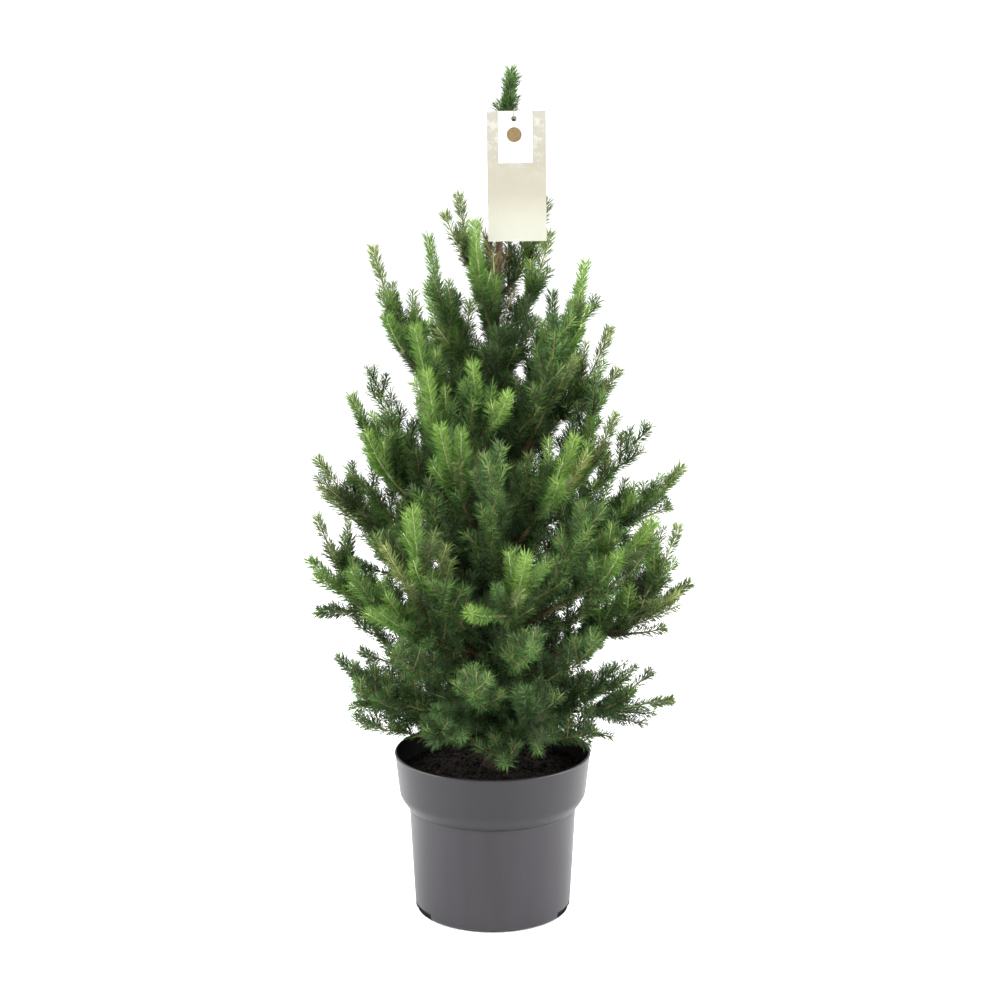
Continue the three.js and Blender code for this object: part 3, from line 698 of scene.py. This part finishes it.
def side_shoots(index):
    """The side shoots of one bough, then those of its forks, and then a second round of
    slightly shorter ones half way between."""
    bough = BOUGHS[index]
    paint = numbers(SEED_FIRST + 3000 + SEED_STEP * index)
    shoots = []
    turn = next(bough.random) * 360
    stems = [(bough.curve, bough.length, bough.limb)]
    stems += [(fork, curve_length(fork), 0.0) for fork in bough.forks]
    rounds = [(*stem, offset, scale)
              for offset, scale in ((0.0, 1.0), (SIDE_PITCH / 2, ROUND_TWO_SCALE)) for stem in stems]
    for stem, length, bare, offset, scale in rounds:
        place = length * bare + SIDE_FIRST + offset
        while place < length - SIDE_LAST:
            t = place / length
            turn += GOLDEN_ANGLE
            lean = SIDE_ANGLE + SIDE_SPREAD * next(bough.random)
            direction = branch(stem, t, turn, lean, bough.tier.lift)
            size = SIDE_LEAST + (1 - t) * SIDE_SHARE * length * mix(0.7, 1.2, next(bough.random))
            size = min(SIDE_LONGEST, size) * bough.tier.side * scale
            # Painted light: the tier's factor paints the crown's side shoots lighter and the skirt's
            # darker.
            fresh = (0.16 + 0.5 * next(paint) ** 1.5) * TIER_PAINTED_LIGHT.get(bough.tier.name, 1.0)
            for share in (1, 0.75, 0.55):
                curve = shoot_curve(along(stem, t), direction, size * share, SHOOT_RISE)
                if has_room(index, curve[2], stem[2], 0.0):
                    shoots.append(Shoot(index, curve, size * share, fresh, STEM_ROOT["side"],
                                        stem[2], order=1))
                    break
            place += SIDE_PITCH
    return shoots


def twiglets(parent, random):
    """Short shoots from the root of a shoot outwards, round it by the golden angle."""
    shoots = []
    turn = next(random) * 360
    place = TWIG_FIRST
    leader = parent.order == 0 and BOUGHS[parent.bough].tier is LEADER
    end = parent.length * (LEADER_TWIG_END if leader else TWIG_ENDS[parent.order])
    while place < end:
        t = place / parent.length
        turn += GOLDEN_ANGLE + TWIG_JITTER * (next(random) - 0.5)
        direction = branch(parent.curve, t, turn, TWIG_ANGLE + TWIG_SPREAD * next(random), TWIG_LIFT)
        size = TWIG_LEAST + (1 - t) * TWIG_SHARE * parent.length * mix(0.6, 1.2, next(random))
        size = min(TWIG_LONGEST, size)
        curve = shoot_curve(along(parent.curve, t), direction, size, SHOOT_RISE)
        fresh = parent.fresh - 0.12 + 0.16 * (next(random) - 0.5)
        if has_room(parent.bough, curve[2], parent.stem_tip, OWN_SPACE_SLACK):
            order = 4 if parent.order == 3 else 2
            shoots.append(Shoot(parent.bough, curve, size, fresh, STEM_ROOT["twig"],
                                parent.stem_tip, order, parent.kind))
        place += TWIG_PITCH * mix(0.8, 1.2, next(random))
    return shoots


def lead_shoots(index):
    """Leading shoots clothe the outer ends of the bough and of its forks."""
    bough = BOUGHS[index]
    shoots = []
    for curve, (fresh, kind) in zip((bough.curve, *bough.forks), LEAD_LOOKS[bough.name]):
        whole = curve_length(curve)
        share = 1.0 if bough.tier is LEADER else LEAD_SHARE
        length = min(LEAD_LENGTH, whole * share)
        outer = part_of(curve, 1 - length / whole, 1)
        shoots.append(Shoot(index, outer, length, fresh, STEM_ROOT["lead"], curve[2],
                            order=0, kind=kind))
    return shoots


def old_wood(index):
    """The wood inside the leading shoots, with older needles."""
    bough = BOUGHS[index]
    shoots = []
    stems = ((bough.curve, bough.limb), *((fork, 0.0) for fork in bough.forks))
    for (curve, bare), (fresh, kind) in zip(stems, LEAD_LOOKS[bough.name]):
        whole = curve_length(curve)
        lead = min(LEAD_LENGTH, whole * LEAD_SHARE)
        inner = part_of(curve, bare + 4 / whole, 1 - lead / whole)
        shoots.append(Shoot(index, inner, curve_length(inner), fresh * OLD_WOOD_FRESH,
                            STEM_ROOT["old"], curve[2], order=-1, kind=kind))
    return shoots


def inner_boughs():
    """Thin old boughs that fill the crown from inside, from the trunk by the golden angle."""
    random = numbers(SEED_FIRST + 5000)
    shoots = []
    turn = 0.0
    foot = INNER_FOOT
    while foot < INNER_TOP:
        turn += GOLDEN_ANGLE
        reach = np.interp(foot, INNER_HEIGHTS, INNER_REACHES) * mix(0.75, 1.15, next(random))
        rise = reach * np.interp(foot, INNER_HEIGHTS, INNER_RISES) * mix(0.7, 1.3, next(random))
        start = trunk_axis(foot)
        end = start + polar(turn, reach, rise)
        curve = np.array([start, mix(start, end, np.array([INNER_OUT, INNER_OUT, INNER_UP])), end])
        shoots += inner_shoot(curve, curve_length(curve), STEM_ROOT["inner"], random)
        shoots += fill_shoots(curve, 1.0, INNER_SIDE_PITCH, 0.8, 1.0, random)
        up = (foot - INNER_FOOT) / (INNER_TOP - INNER_FOOT)
        foot += mix(INNER_PITCH_LOW, INNER_PITCH_HIGH, up)
    for bough in BOUGHS:
        if bough.tier is not LEADER:
            scale = bough.tier.side**2
            shoots += fill_shoots(bough.curve, LIMB_FILL_END, LIMB_FILL_PITCH, 0.3, scale, random)
    shoots += fill_shoots(trunk_stretch(INNER_FOOT, INNER_TOP), 1.0, STEM_FILL_PITCH, 0.6, 0.8, random)
    return shoots + dead_twigs(random)


def dead_twigs(random):
    """Browned needles on the upper trunk, and on thin twigs that lie close along it. The
    last stretch below the leader is green."""
    owner = len(BOUGHS) - 1
    shoots = []
    for low, high, order, kind in ((DEAD_FOOT, GREEN_FOOT, 3, 2), (GREEN_FOOT, TRUNK_TOP, 1, 0)):
        stem = trunk_stretch(low, high)
        shoots.append(Shoot(owner, stem, high - low, 0.32, 3.0, stem[2], order, kind))
    turn = 20.0
    for foot in np.arange(DEAD_FOOT, DEAD_TOP, DEAD_PITCH):
        turn += GOLDEN_ANGLE
        length = mix(DEAD_LEAST, DEAD_LONGEST, next(random))
        curve = shoot_curve(trunk_axis(foot), unit(polar(turn, 0.5, 1.0)), length, SHOOT_RISE)
        if not near_label(curve[2], TIP_ROOM):
            fresh = 0.3 + 0.4 * next(random)
            shoots.append(Shoot(owner, curve, length, fresh, STEM_ROOT["fill"], curve[2], 3, 2))
    return shoots


def fill_shoots(curve, last, pitch, lift, scale, random):
    """Dark side shoots with twiglets on them, round a stem up to a share of its length."""
    length = curve_length(curve)
    shoots = []
    place = FILL_START
    turn = next(random) * 360
    while place < length * last - FILL_STOP:
        t = place / length
        turn += GOLDEN_ANGLE + FILL_JITTER * (next(random) - 0.5)
        direction = branch(curve, t, turn, FILL_ANGLE + FILL_SPREAD * next(random), lift)
        size = mix(INNER_SIDE_ROOT, INNER_SIDE_TIP, t) * mix(0.75, 1.2, next(random)) * scale
        spray = shoot_curve(along(curve, t), direction, size, SHOOT_RISE)
        side = inner_shoot(spray, size, STEM_ROOT["fill"], random)
        shoots += side
        for shoot in side:
            shoots += twiglets(shoot, random)
        place += pitch * mix(0.8, 1.2, next(random))
    return shoots


def inner_shoot(curve, length, root, random):
    """One dark shoot, where it stays off the pot and the label; its nearest bough owns it."""
    tip = curve[2]
    if blocked(tip):
        return []
    owner = int(np.argmin(bough_distances(tip)))
    above = tip + UP * 40 + unit(tip * np.array([1, 1, 0])) * 10
    outward = math.hypot(tip[0], tip[1]) / INNER_REACHES[1]
    fresh = 0.02 + 0.22 * outward + 0.16 * next(random)
    return [Shoot(owner, curve, length, fresh, root, above, 3)]


def grow():
    shoots = []
    for index, bough in enumerate(BOUGHS):
        random = numbers(SEED_FIRST + 1000 + SEED_STEP * index)
        leads = lead_shoots(index)
        sides = side_shoots(index)
        for shoot in sides:
            shoot.kind = int(next(random) < OLIVE_SHARE)
        shoots += leads + sides
        if bough.tier is not LEADER:
            shoots += old_wood(index)
        for shoot in leads + sides:
            shoots += twiglets(shoot, random)
    return shoots + inner_boughs()


SHOOTS = grow()


# ---------------- needles
def clothe(shoots):
    """The needles of all shoots, as arrays: bough, root, direction, length, colour."""
    random = np.random.default_rng(SEED_FIRST)
    at_tip, at_root, farther = NEEDLE_LEANS
    made = []
    for shoot in shoots:
        count = max(6, int(shoot.length / NEEDLE_PITCHES[shoot.order]))
        s = (np.arange(count) + random.random(count)) / count * (1 - TIP_NEEDLES / shoot.length)
        if shoot.kind == 1 and shoot.order == 0:
            s = s[(s > CLUB_START) | (random.random(count) < BARE_SHARE)]
            count = len(s)
        azimuth = np.radians(np.arange(count) * GOLDEN_ANGLE + random.normal(0, NEEDLE_SPREAD, count))
        to_tip = (1 - s) * shoot.length
        lean = np.radians(mix(at_tip, mix(at_root, farther, s), np.clip(to_tip / 6, 0, 1))
                          + random.normal(0, LEAN_SPREAD, count))
        tangent = heading(shoot.curve[None], s)
        side, over = cross_frames(tangent, level_sides(tangent))
        radial = side * np.cos(azimuth)[:, None] + over * np.sin(azimuth)[:, None]
        direction = unit(tangent * np.cos(lean)[:, None] + radial * np.sin(lean)[:, None] + UP * 0.1)
        longer = LEAD_NEEDLES if shoot.order == 0 else 1
        size = NEEDLE_LENGTH * random.normal(1, 0.11, count) * longer
        shorter_at_root = np.clip(0.66 + s * 1.6, 0, 1)
        shorter_at_tip = np.clip(0.8 + to_tip / 30, 0, 1)
        size *= shorter_at_root * shorter_at_tip
        radius = mix(shoot.root, 0.5, s) * 0.6
        root = along(shoot.curve[None], s) + radial * radius[:, None]
        paling = 0.42 * (s - 0.8) if shoot.order == 0 else 0.26 * (s - 0.55)
        # Painted light: needles are painted lighter higher up and darker lower down.
        height = PAINTED_HEIGHT_LIGHT * (root[:, 2] / CROWN_TOP - 0.45)
        # Painted shade: the nearer a needle is to the trunk, the darker it is painted.
        from_trunk = np.linalg.norm((root - trunk_axis(root[:, 2]))[:, :2], axis=1)
        inside = np.clip(1 - from_trunk / PAINTED_INNER_SHADE_REACH, 0, 1)
        shade = shoot.fresh + paling + height - PAINTED_INNER_SHADE * inside
        shade += random.normal(0, SHADE_SPREAD, count)
        colour = np.clip((shade * SHADES).astype(int), 0, SHADES - 1) + SHADES * shoot.kind
        made.append((np.full(count, shoot.bough), root, direction, size, colour))
    bough, root, direction, size, colour = (np.concatenate(column) for column in zip(*made))
    tip = root + direction * size[:, None]
    clear = ~(near_pot(tip, 0.5) | near_label(tip, 0.5) | near_label(root, 0.5))
    return [column[clear] for column in (bough, root, direction, size, colour)]


def add_foliage():
    bough, root, direction, size, colour = clothe(SHOOTS)
    random = np.random.default_rng(SEED_FIRST + 1)
    spin = random.random(len(size)) * 2 * np.pi
    groups, filled = [], 0
    for index, facts in enumerate(BOUGHS):
        triangles = NEEDLE_FACES * int((bough == index).sum())
        same_tier = groups and BOUGHS[groups[-1][0]].tier is facts.tier
        if not same_tier or filled + triangles > PIECE_LIMIT:
            groups.append([])
            filled = 0
        groups[-1].append(index)
        filled += triangles
    seen = {}
    for group in groups:
        chosen = np.isin(bough, group)
        points, faces = needle_parts(root[chosen], direction[chosen], size[chosen], spin[chosen])
        tier = BOUGHS[group[0]].tier.name
        seen[tier] = seen.get(tier, 0) + 1
        piece = add_piece(f"foliage_{tier}_{seen[tier]}", points, faces, NEEDLE_LOOKS,
                          np.repeat(colour[chosen], NEEDLE_FACES))
        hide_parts(*[f"needles_{BOUGHS[index].name}" for index in group])


def add_twigs():
    """The stems of all shoots, from brown through tan to pale by how fresh each shoot is."""
    kinds = (
        ("twigs_boughs", (-1, 0), 8, 5),
        ("twigs_side", (1,), 5, 4),
        ("twigs_fine", (2, 3, 4), 3, 3),
    )
    for name, orders, steps, sides in kinds:
        chosen = [shoot for shoot in SHOOTS if shoot.order in orders]
        curves = np.array([shoot.curve for shoot in chosen])[:, None]
        rings = along(curves, np.linspace(0, 0.97, steps))
        taper = np.linspace(0, 1, steps)
        root = np.array([shoot.root for shoot in chosen])
        end = np.array([1.4 if shoot.order < 0 else 0.5 for shoot in chosen])
        radii = mix(root[:, None], end[:, None], taper)
        points, faces = tube_parts(rings, radii, level_sides(heading(curves[:, 0], 0.5)), sides)
        fresh = np.array([shoot.fresh for shoot in chosen])
        look = np.where(fresh > 0.45, 2, np.where(fresh > 0.2, 1, 0))
        look_of_faces = np.repeat(look, len(faces) // len(chosen))
        add_piece(name, points, faces, STEM_LOOKS, look_of_faces)


# ---------------- bark
def add_trunk(bark):
    """The trunk as a tube with a flaky, ridged skin in the mesh itself."""
    rings, sides = 320, 32
    heights = SOIL_TOP - 3 + (TRUNK_TOP - SOIL_TOP + 3) * np.linspace(0, 1, rings) ** 1.1
    axis = trunk_axis(heights)
    angle = np.arange(sides) * 2 * np.pi / sides
    flare = np.clip(1 - (heights - SOIL_TOP) / FLARE_HEIGHT, 0, 1)
    radius = trunk_radius(heights)[:, None] * (1 + 0.17 * flare[:, None] * np.cos(4 * angle + 0.6))
    skin = np.stack([np.cos(angle) * 8 + axis[:, :1], np.sin(angle) * 8 + axis[:, 1:2],
                     np.repeat(heights[:, None] * 0.35, sides, axis=1)], -1)
    flakes = lumps(skin, 1.6, 3) * 0.5 + np.round(lumps(skin, 3.2, 4) * 2) / 2
    radius = radius * (1 + 0.05 * flakes)
    points, faces = tube_parts(axis[None], radius[None], np.array([[1.0, 0, 0]]), sides)
    trunk = add_piece("bark_trunk", points, faces, [bark])
    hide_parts("trunk")


def add_limbs(bark):
    """The boughs' bare limbs, each with a collar where it leaves the trunk."""
    limbs = [bough for bough in BOUGHS if bough.limb > 0]
    curves = np.array([bough.curve for bough in limbs])[:, None]
    rings, sides = 30, 10
    t = np.linspace(0.0, LIMB_SHARE + 0.02, rings)
    centre = along(curves, t)
    base = mix(LIMB_ROOT, LIMB_TIP, t / LIMB_SHARE)
    collar = 1 + 0.35 * np.clip(1 - t / 0.09, 0, 1)
    around = np.arange(sides) * 2 * np.pi / sides
    place = np.stack(np.broadcast_arrays(
        np.cos(around) * 4, np.sin(around) * 4 + np.arange(len(limbs))[:, None, None] * 50,
        (t * 60)[None, :, None] * np.ones(sides)), -1)
    radii = (base * collar)[None, :, None] * (1 + 0.09 * lumps(place, 1.5, 5))
    points, faces = tube_parts(centre, radii, level_sides(heading(curves[:, 0], 0.1)), sides)
    boughs = add_piece("bark_boughs", points, faces, [bark])
    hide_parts(*[f"bough_{bough.name}" for bough in limbs])


# ---------------- pot and soil
def arc(x, z, radius, start, end, steps):
    angles = np.radians(np.linspace(start, end, steps + 1))
    return [(x + radius * math.cos(a), z + radius * math.sin(a)) for a in angles]


def lathe_parts(outline, sides):
    """A closed body turned about the upright axis; its outline starts and ends on the axis."""
    outline = np.array(outline)
    ring = outline[1:-1]
    angle = np.arange(sides) * 2 * np.pi / sides
    points = np.stack([ring[:, :1] * np.cos(angle), ring[:, :1] * np.sin(angle),
                       np.repeat(ring[:, 1:], sides, axis=1)], -1).reshape(-1, 3)
    points = np.concatenate([points, [[0, 0, outline[0, 1]], [0, 0, outline[-1, 1]]]])
    return points, skin_faces(len(ring), sides)


def notch_cutter(bearing):
    """A ring sector that cuts one drainage notch into the outer corner of the pot's base."""
    steps = 12
    inner, outer = POT_BASE - NOTCH_DEPTH, POT_BASE + 6
    turns = np.radians(
        np.linspace(bearing - NOTCH_HALF_ANGLE, bearing + NOTCH_HALF_ANGLE, steps + 1))
    corners = [(inner, NOTCH_FLOOR), (outer, NOTCH_FLOOR),
               (outer, NOTCH_HEIGHT), (inner, NOTCH_HEIGHT)]
    points = np.array([[r * math.cos(a), r * math.sin(a), z] for a in turns for r, z in corners])
    faces = []
    for step in range(steps):
        for corner in range(4):
            a, b = step * 4 + corner, step * 4 + (corner + 1) % 4
            faces += [(a, b + 4, b), (a, a + 4, b + 4)]
    end = steps * 4
    faces += [(0, 1, 2), (0, 2, 3), (end, end + 2, end + 1), (end, end + 3, end + 2)]
    return points, np.array(faces)


def cut(piece, cutters):
    """Cuts closed meshes, given as points and faces, out of a piece."""
    for index, (points, faces) in enumerate(cutters):
        mesh = bpy.data.meshes.new("cutter")
        mesh.from_pydata((points * MM).tolist(), [], faces.tolist())
        tool = linked("cutter", mesh)
        modifier = piece.modifiers.new(f"cut_{index}", "BOOLEAN")
        modifier.object = tool
        modifier.solver = "EXACT"
        solid = evaluated_mesh(piece)
        piece.modifiers.remove(modifier)
        piece.data = solid
        bpy.data.objects.remove(tool)


def add_pot():
    wall = POT_WALL
    band_radius, band_foot = POT_BAND_FOOT
    body_radius, body_top = POT_BODY_TOP
    lip = 1.3
    outline = [
        (0, 0),
        *arc(POT_BASE - POT_CORNER, POT_CORNER, POT_CORNER, -90, 0, 10),
        (mix(POT_BASE, body_radius, 0.5), body_top / 2),
        (body_radius - 0.3, body_top - 4),
        (body_radius + 0.35, body_top),
        (body_radius + 0.2, body_top + 0.8),
        (body_radius + 1.3, body_top + 1.8),
        (body_radius + 2.8, body_top + 3.6),
        (band_radius - 2.2, band_foot - 5.2),
        (band_radius - 0.5, band_foot - 2),
        (band_radius + 0.05, band_foot + 1.0),
        (band_radius + 0.2, band_foot + 2.2),
        (POT_RIM - 0.7, POT_HEIGHT - 4.6),
        *arc(POT_RIM - lip, POT_HEIGHT - lip, lip, -20, 90, 7),
        *arc(POT_RIM - wall + 0.4, POT_HEIGHT - 0.7, 0.7, 90, 180, 4),
        (band_radius - wall, band_foot + 1),
        (body_radius - wall, body_top + 1),
        (POT_BASE - wall, POT_FLOOR),
        (0, POT_FLOOR),
    ]
    points, faces = lathe_parts(outline, 192)
    pot = add_piece("pot_shell", points, faces, [pot_plastic(), pot_inside()])
    cut(pot, [notch_cutter(bearing) for bearing in NOTCH_BEARINGS])
    # Inward faces above the notches take the dark inside plastic: painted shade, with a damp peat
    # stain.
    for face in pot.data.polygons:
        inward = face.normal.x * face.center.x + face.normal.y * face.center.y < -1e-4
        face.material_index = int(inward and face.center.z > NOTCH_HEIGHT * MM)
    pot.data.shade_smooth()
    pot.data.set_sharp_from_angle(angle=math.radians(38))
    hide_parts("pot")


def soil_height(distance, edge):
    return SOIL_TOP - SOIL_DROP * np.clip((distance - SOIL_SHOULDER) / (edge - SOIL_SHOULDER), 0, 1)


def add_soil():
    """Peat that fills the pot, its top rough and a little sunk towards the wall, with crumbs."""
    inset = POT_WALL + 0.4
    edge = mix(POT_BAND_FOOT[0], POT_RIM, 0.5) - inset
    radii = np.linspace(edge, 1.5, 48)
    top = zip(radii, soil_height(radii, edge))
    outline = [(0, POT_FLOOR + GAP), (POT_BASE - inset, POT_FLOOR + GAP),
               (POT_BODY_TOP[0] - inset, POT_BODY_TOP[1] + 2),
               (POT_BAND_FOOT[0] - inset, POT_BAND_FOOT[1] + 2), *top, (0, SOIL_TOP)]
    points, faces = lathe_parts(outline, 128)
    surface = points[:, 2] > SOIL_TOP - SOIL_DROP - 0.5
    rough = lumps(points, 7.0, 11) * 1.2 + lumps(points, 2.4, 12) * 0.7 - 0.4
    points[:, 2] += np.where(surface, rough, 0)
    peat = soil_peat()
    soil = add_piece("soil_bed", points, faces, [peat], smooth=False)
    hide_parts("soil")
    add_crumbs(peat, edge)


def add_crumbs(peat, edge):
    random = np.random.default_rng(CRUMB_SEED)
    count = CRUMBS
    distance = edge * np.sqrt(random.random(count)) * 0.985
    bearing = random.random(count) * 2 * np.pi
    size = np.exp(random.normal(0.0, 0.5, count)) * 1.1
    centre = np.stack([distance * np.cos(bearing), distance * np.sin(bearing),
                       soil_height(distance, edge) + size * 0.3], -1)
    ball, sides = crumb_shape()
    stretch = random.uniform(0.6, 1.3, (count, 1, 3))
    bumps = random.uniform(0.75, 1.2, (count, len(ball), 1))
    points = centre[:, None] + ball[None] * stretch * bumps * size[:, None, None]
    faces = sides[None] + (np.arange(count) * len(ball))[:, None, None]
    crumb_looks = [peat, plain("crumb_dark", (20, 17, 15), 0.95, 0.1),
                   plain("crumb_red", (42, 33, 27), 0.95, 0.1)]
    look = random.choice(3, count, p=(0.5, 0.3, 0.2))
    add_piece("soil_crumbs", points.reshape(-1, 3), faces.reshape(-1, 3), crumb_looks,
              np.repeat(look, len(sides)), smooth=False)


def crumb_shape():
    """A twenty-sided ball."""
    gold = (1 + math.sqrt(5)) / 2
    corners = unit(np.array([
        (-1, gold, 0), (1, gold, 0), (-1, -gold, 0), (1, -gold, 0), (0, -1, gold), (0, 1, gold),
        (0, -1, -gold), (0, 1, -gold), (gold, 0, -1), (gold, 0, 1), (-gold, 0, -1), (-gold, 0, 1)]))
    faces = np.array([
        (0, 11, 5), (0, 5, 1), (0, 1, 7), (0, 7, 10), (0, 10, 11), (1, 5, 9), (5, 11, 4),
        (11, 10, 2), (10, 7, 6), (7, 1, 8), (3, 9, 4), (3, 4, 2), (3, 2, 6), (3, 6, 8),
        (3, 8, 9), (4, 9, 5), (2, 4, 11), (6, 2, 10), (8, 6, 7), (9, 8, 1)])
    return corners, faces


# ---------------- label
def slab(left, right, low, high, front, back, hole):
    """A flat card with a round hole, as points and faces; hole is its centre x, z and radius."""
    steps = 48
    angle = (np.arange(steps) + 0.5) * 2 * np.pi / steps
    x, z, radius = hole
    cos, sin = np.cos(angle), np.sin(angle)
    reach_x = np.where(cos > 0, right - x, x - left) / np.maximum(np.abs(cos), 1e-9)
    reach_z = np.where(sin > 0, high - z, z - low) / np.maximum(np.abs(sin), 1e-9)
    reach = np.minimum(reach_x, reach_z)
    outer = [(x + d * c, z + d * s) for d, c, s in zip(reach, cos, sin)]
    for corner in ((right, high), (left, high), (left, low), (right, low)):
        bearing = [math.atan2(p[1] - z, p[0] - x) % (2 * math.pi) for p in outer]
        own = math.atan2(corner[1] - z, corner[0] - x) % (2 * math.pi)
        outer.insert(int(np.searchsorted(bearing, own)), corner)
    inner = []
    for px, pz in outer:
        bearing = math.atan2(pz - z, px - x)
        inner.append((x + radius * math.cos(bearing), z + radius * math.sin(bearing)))
    count = len(outer)
    rings = [(outer, front), (inner, front), (inner, back), (outer, back)]
    points = np.array([(px, y, pz) for ring, y in rings for px, pz in ring])
    faces = []
    for ring in range(4):
        here, there = ring * count, (ring + 1) % 4 * count
        for step in range(count):
            after = (step + 1) % count
            faces += [(here + step, here + after, there + after),
                      (here + step, there + after, there + step)]
    return points, np.array(faces)


def turned(points):
    """The label hangs turned a little about the middle of its top edge."""
    turn = math.radians(LABEL_TURN)
    x = points[:, 0] - LABEL_LEFT - LABEL_WIDTH / 2
    z = points[:, 2] - LABEL_TOP
    points = points.copy()
    points[:, 0] = LABEL_LEFT + LABEL_WIDTH / 2 + x * math.cos(turn) - z * math.sin(turn)
    points[:, 2] = LABEL_TOP + x * math.sin(turn) + z * math.cos(turn)
    return points


def add_label():
    hole = (LABEL_LEFT + HOLE_X, LABEL_TOP - HOLE_DROP, HOLE_RADIUS)
    back = LABEL_FRONT
    front = LABEL_FRONT - LABEL_THICK
    points, faces = slab(LABEL_LEFT, LABEL_LEFT + LABEL_WIDTH, LABEL_TOP - LABEL_HEIGHT, LABEL_TOP,
                         front, back, hole)
    card = add_piece("label_sheet", turned(points), faces, [label_card()], smooth=False)
    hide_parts("label")
    face = front - PANEL_THICK
    points, faces = slab(PANEL_LEFT, PANEL_LEFT + PANEL_WIDTH, LABEL_TOP - PANEL_HEIGHT, LABEL_TOP,
                         face, front + 0.05, hole)
    add_piece("label_panel", turned(points), faces, [label_paper()], smooth=False)
    add_disc(hole[0], LABEL_TOP - DISC_DROP, face)


def add_disc(x, z, back):
    """A plain round gilt sticker with a raised rim, on the label's panel."""
    rings = [(DISC_RADIUS, 0.0), (DISC_RADIUS, 0.14), (DISC_RADIUS - 0.5, 0.2),
             (DISC_RADIUS - 1.0, 0.12), (DISC_RADIUS - 1.6, 0.12)]
    points, faces = lathe_parts([(0, 0), *rings, (0, 0.12)], 48)
    points = np.stack([points[:, 0] + x, back - points[:, 2], points[:, 1] + z], -1)
    add_piece("label_disc", turned(points), faces, [label_gilt()], smooth=False)


def add_tie():
    """The thread's route as x, y and rise over the hole: through it and round the leader."""
    hole = np.array([LABEL_LEFT + HOLE_X, LABEL_FRONT - LABEL_THICK / 2, LABEL_TOP - HOLE_DROP])
    axis_x, axis_y, _ = trunk_axis(hole[2] + 3)
    around = [(axis_x - TIE_RING * math.cos(turn), axis_y + TIE_RING * math.sin(turn), 3)
              for turn in np.radians((50, 90, 130))]
    x, y = hole[0], hole[1]
    route = [(x, y - 2.4, 1.6), (x, y, 0), (x - 4, y + 3, 0.4), (axis_x - TIE_RING, axis_y, 1.8),
             *around, (axis_x + TIE_RING, axis_y, 5), (x + 4, y + 4, 8), (x, y, 9.2),
             (x, y - 2.4, 7)]
    curve = bpy.data.curves.new("route", "CURVE")
    curve.dimensions = "3D"
    spline = curve.splines.new("NURBS")
    spline.points.add(len(route) - 1)
    for point, (px, py, rise) in zip(spline.points, route):
        point.co = (px * MM, py * MM, (hole[2] + rise) * MM, 1)
    spline.use_cyclic_u = True
    spline.order_u = 3
    spline.resolution_u = 10
    curve.bevel_depth = TIE_RADIUS * 0.8 * MM
    curve.bevel_resolution = 3
    holder = linked("route", curve)
    mesh = evaluated_mesh(holder)
    bpy.data.objects.remove(holder)
    mesh.materials.clear()
    mesh.materials.append(tie_thread())
    tie = linked("tie_loop", mesh)
    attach(tie, "root")
    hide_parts("label_tie")


# ---------------- studio, in metres
SOFTBOXES = (                       # place, target, size and power
    ("softbox_left", (-1.8, -0.1, 0.9), (0, 0, 0.35), 1.6, 84),
    ("softbox_right", (1.8, -0.1, 0.9), (0, 0, 0.35), 1.6, 94),
    ("softbox_front", (-0.9, -2.2, 2.2), (0, 0, 0.45), 1.2, 15),
)
SKY_POWER, SKY_ANGLE, SKY_TILT = 1.8, 100, (12, -8, 0)
FLOOR_REACH, FLOOR_HEIGHT = 80.0, -0.0002
CAMERA_LENS, CAMERA_PLACE, CAMERA_TARGET = 90.56, (0.00714, -2.335, 0.9035), (0.00714, 0, 0.4065)


def add_softbox(name, place, target, size, power):
    data = bpy.data.lights.new(name, "AREA")
    data.shape = "DISK"
    data.size = size
    data.energy = power
    light = linked(name, data)
    light.location = place
    light.visible_camera = False
    aim(light, target)


def aim(thing, target):
    way = Vector(target) - thing.location
    thing.rotation_euler = way.to_track_quat("-Z", "Y").to_euler()


def add_studio():
    scene = bpy.context.scene
    scene.view_settings.view_transform = "Standard"
    world = bpy.data.worlds.new("studio")
    world.use_nodes = True
    background = world.node_tree.nodes["Background"]
    background.inputs["Color"].default_value = (1, 1, 1, 1)
    background.inputs["Strength"].default_value = 1.0
    scene.world = world
    corners = [(x * FLOOR_REACH, y * FLOOR_REACH, FLOOR_HEIGHT)
               for x, y in ((-1, -1), (1, -1), (1, 1), (-1, 1))]
    mesh = bpy.data.meshes.new("studio_floor")
    mesh.from_pydata(corners, [], [(0, 1, 2, 3)])
    mesh.materials.append(floor_white())
    floor = linked("studio_floor", mesh)
    for softbox in SOFTBOXES:
        add_softbox(*softbox)
    sky = bpy.data.lights.new("overhead", "SUN")
    sky.energy = SKY_POWER
    sky.angle = math.radians(SKY_ANGLE)
    linked("overhead", sky).rotation_euler = [math.radians(tilt) for tilt in SKY_TILT]


def add_camera():
    data = bpy.data.cameras.new("camera")
    data.lens = CAMERA_LENS
    data.sensor_width = 36
    data.clip_start = 0.1
    data.clip_end = 400
    camera = linked("camera", data)
    camera.location = CAMERA_PLACE
    aim(camera, CAMERA_TARGET)
    bpy.context.scene.camera = camera


add_camera()
add_studio()
add_pot()
add_soil()
bark = bark_brown()
add_trunk(bark)
add_limbs(bark)
add_twigs()
add_foliage()
add_label()
add_tie()
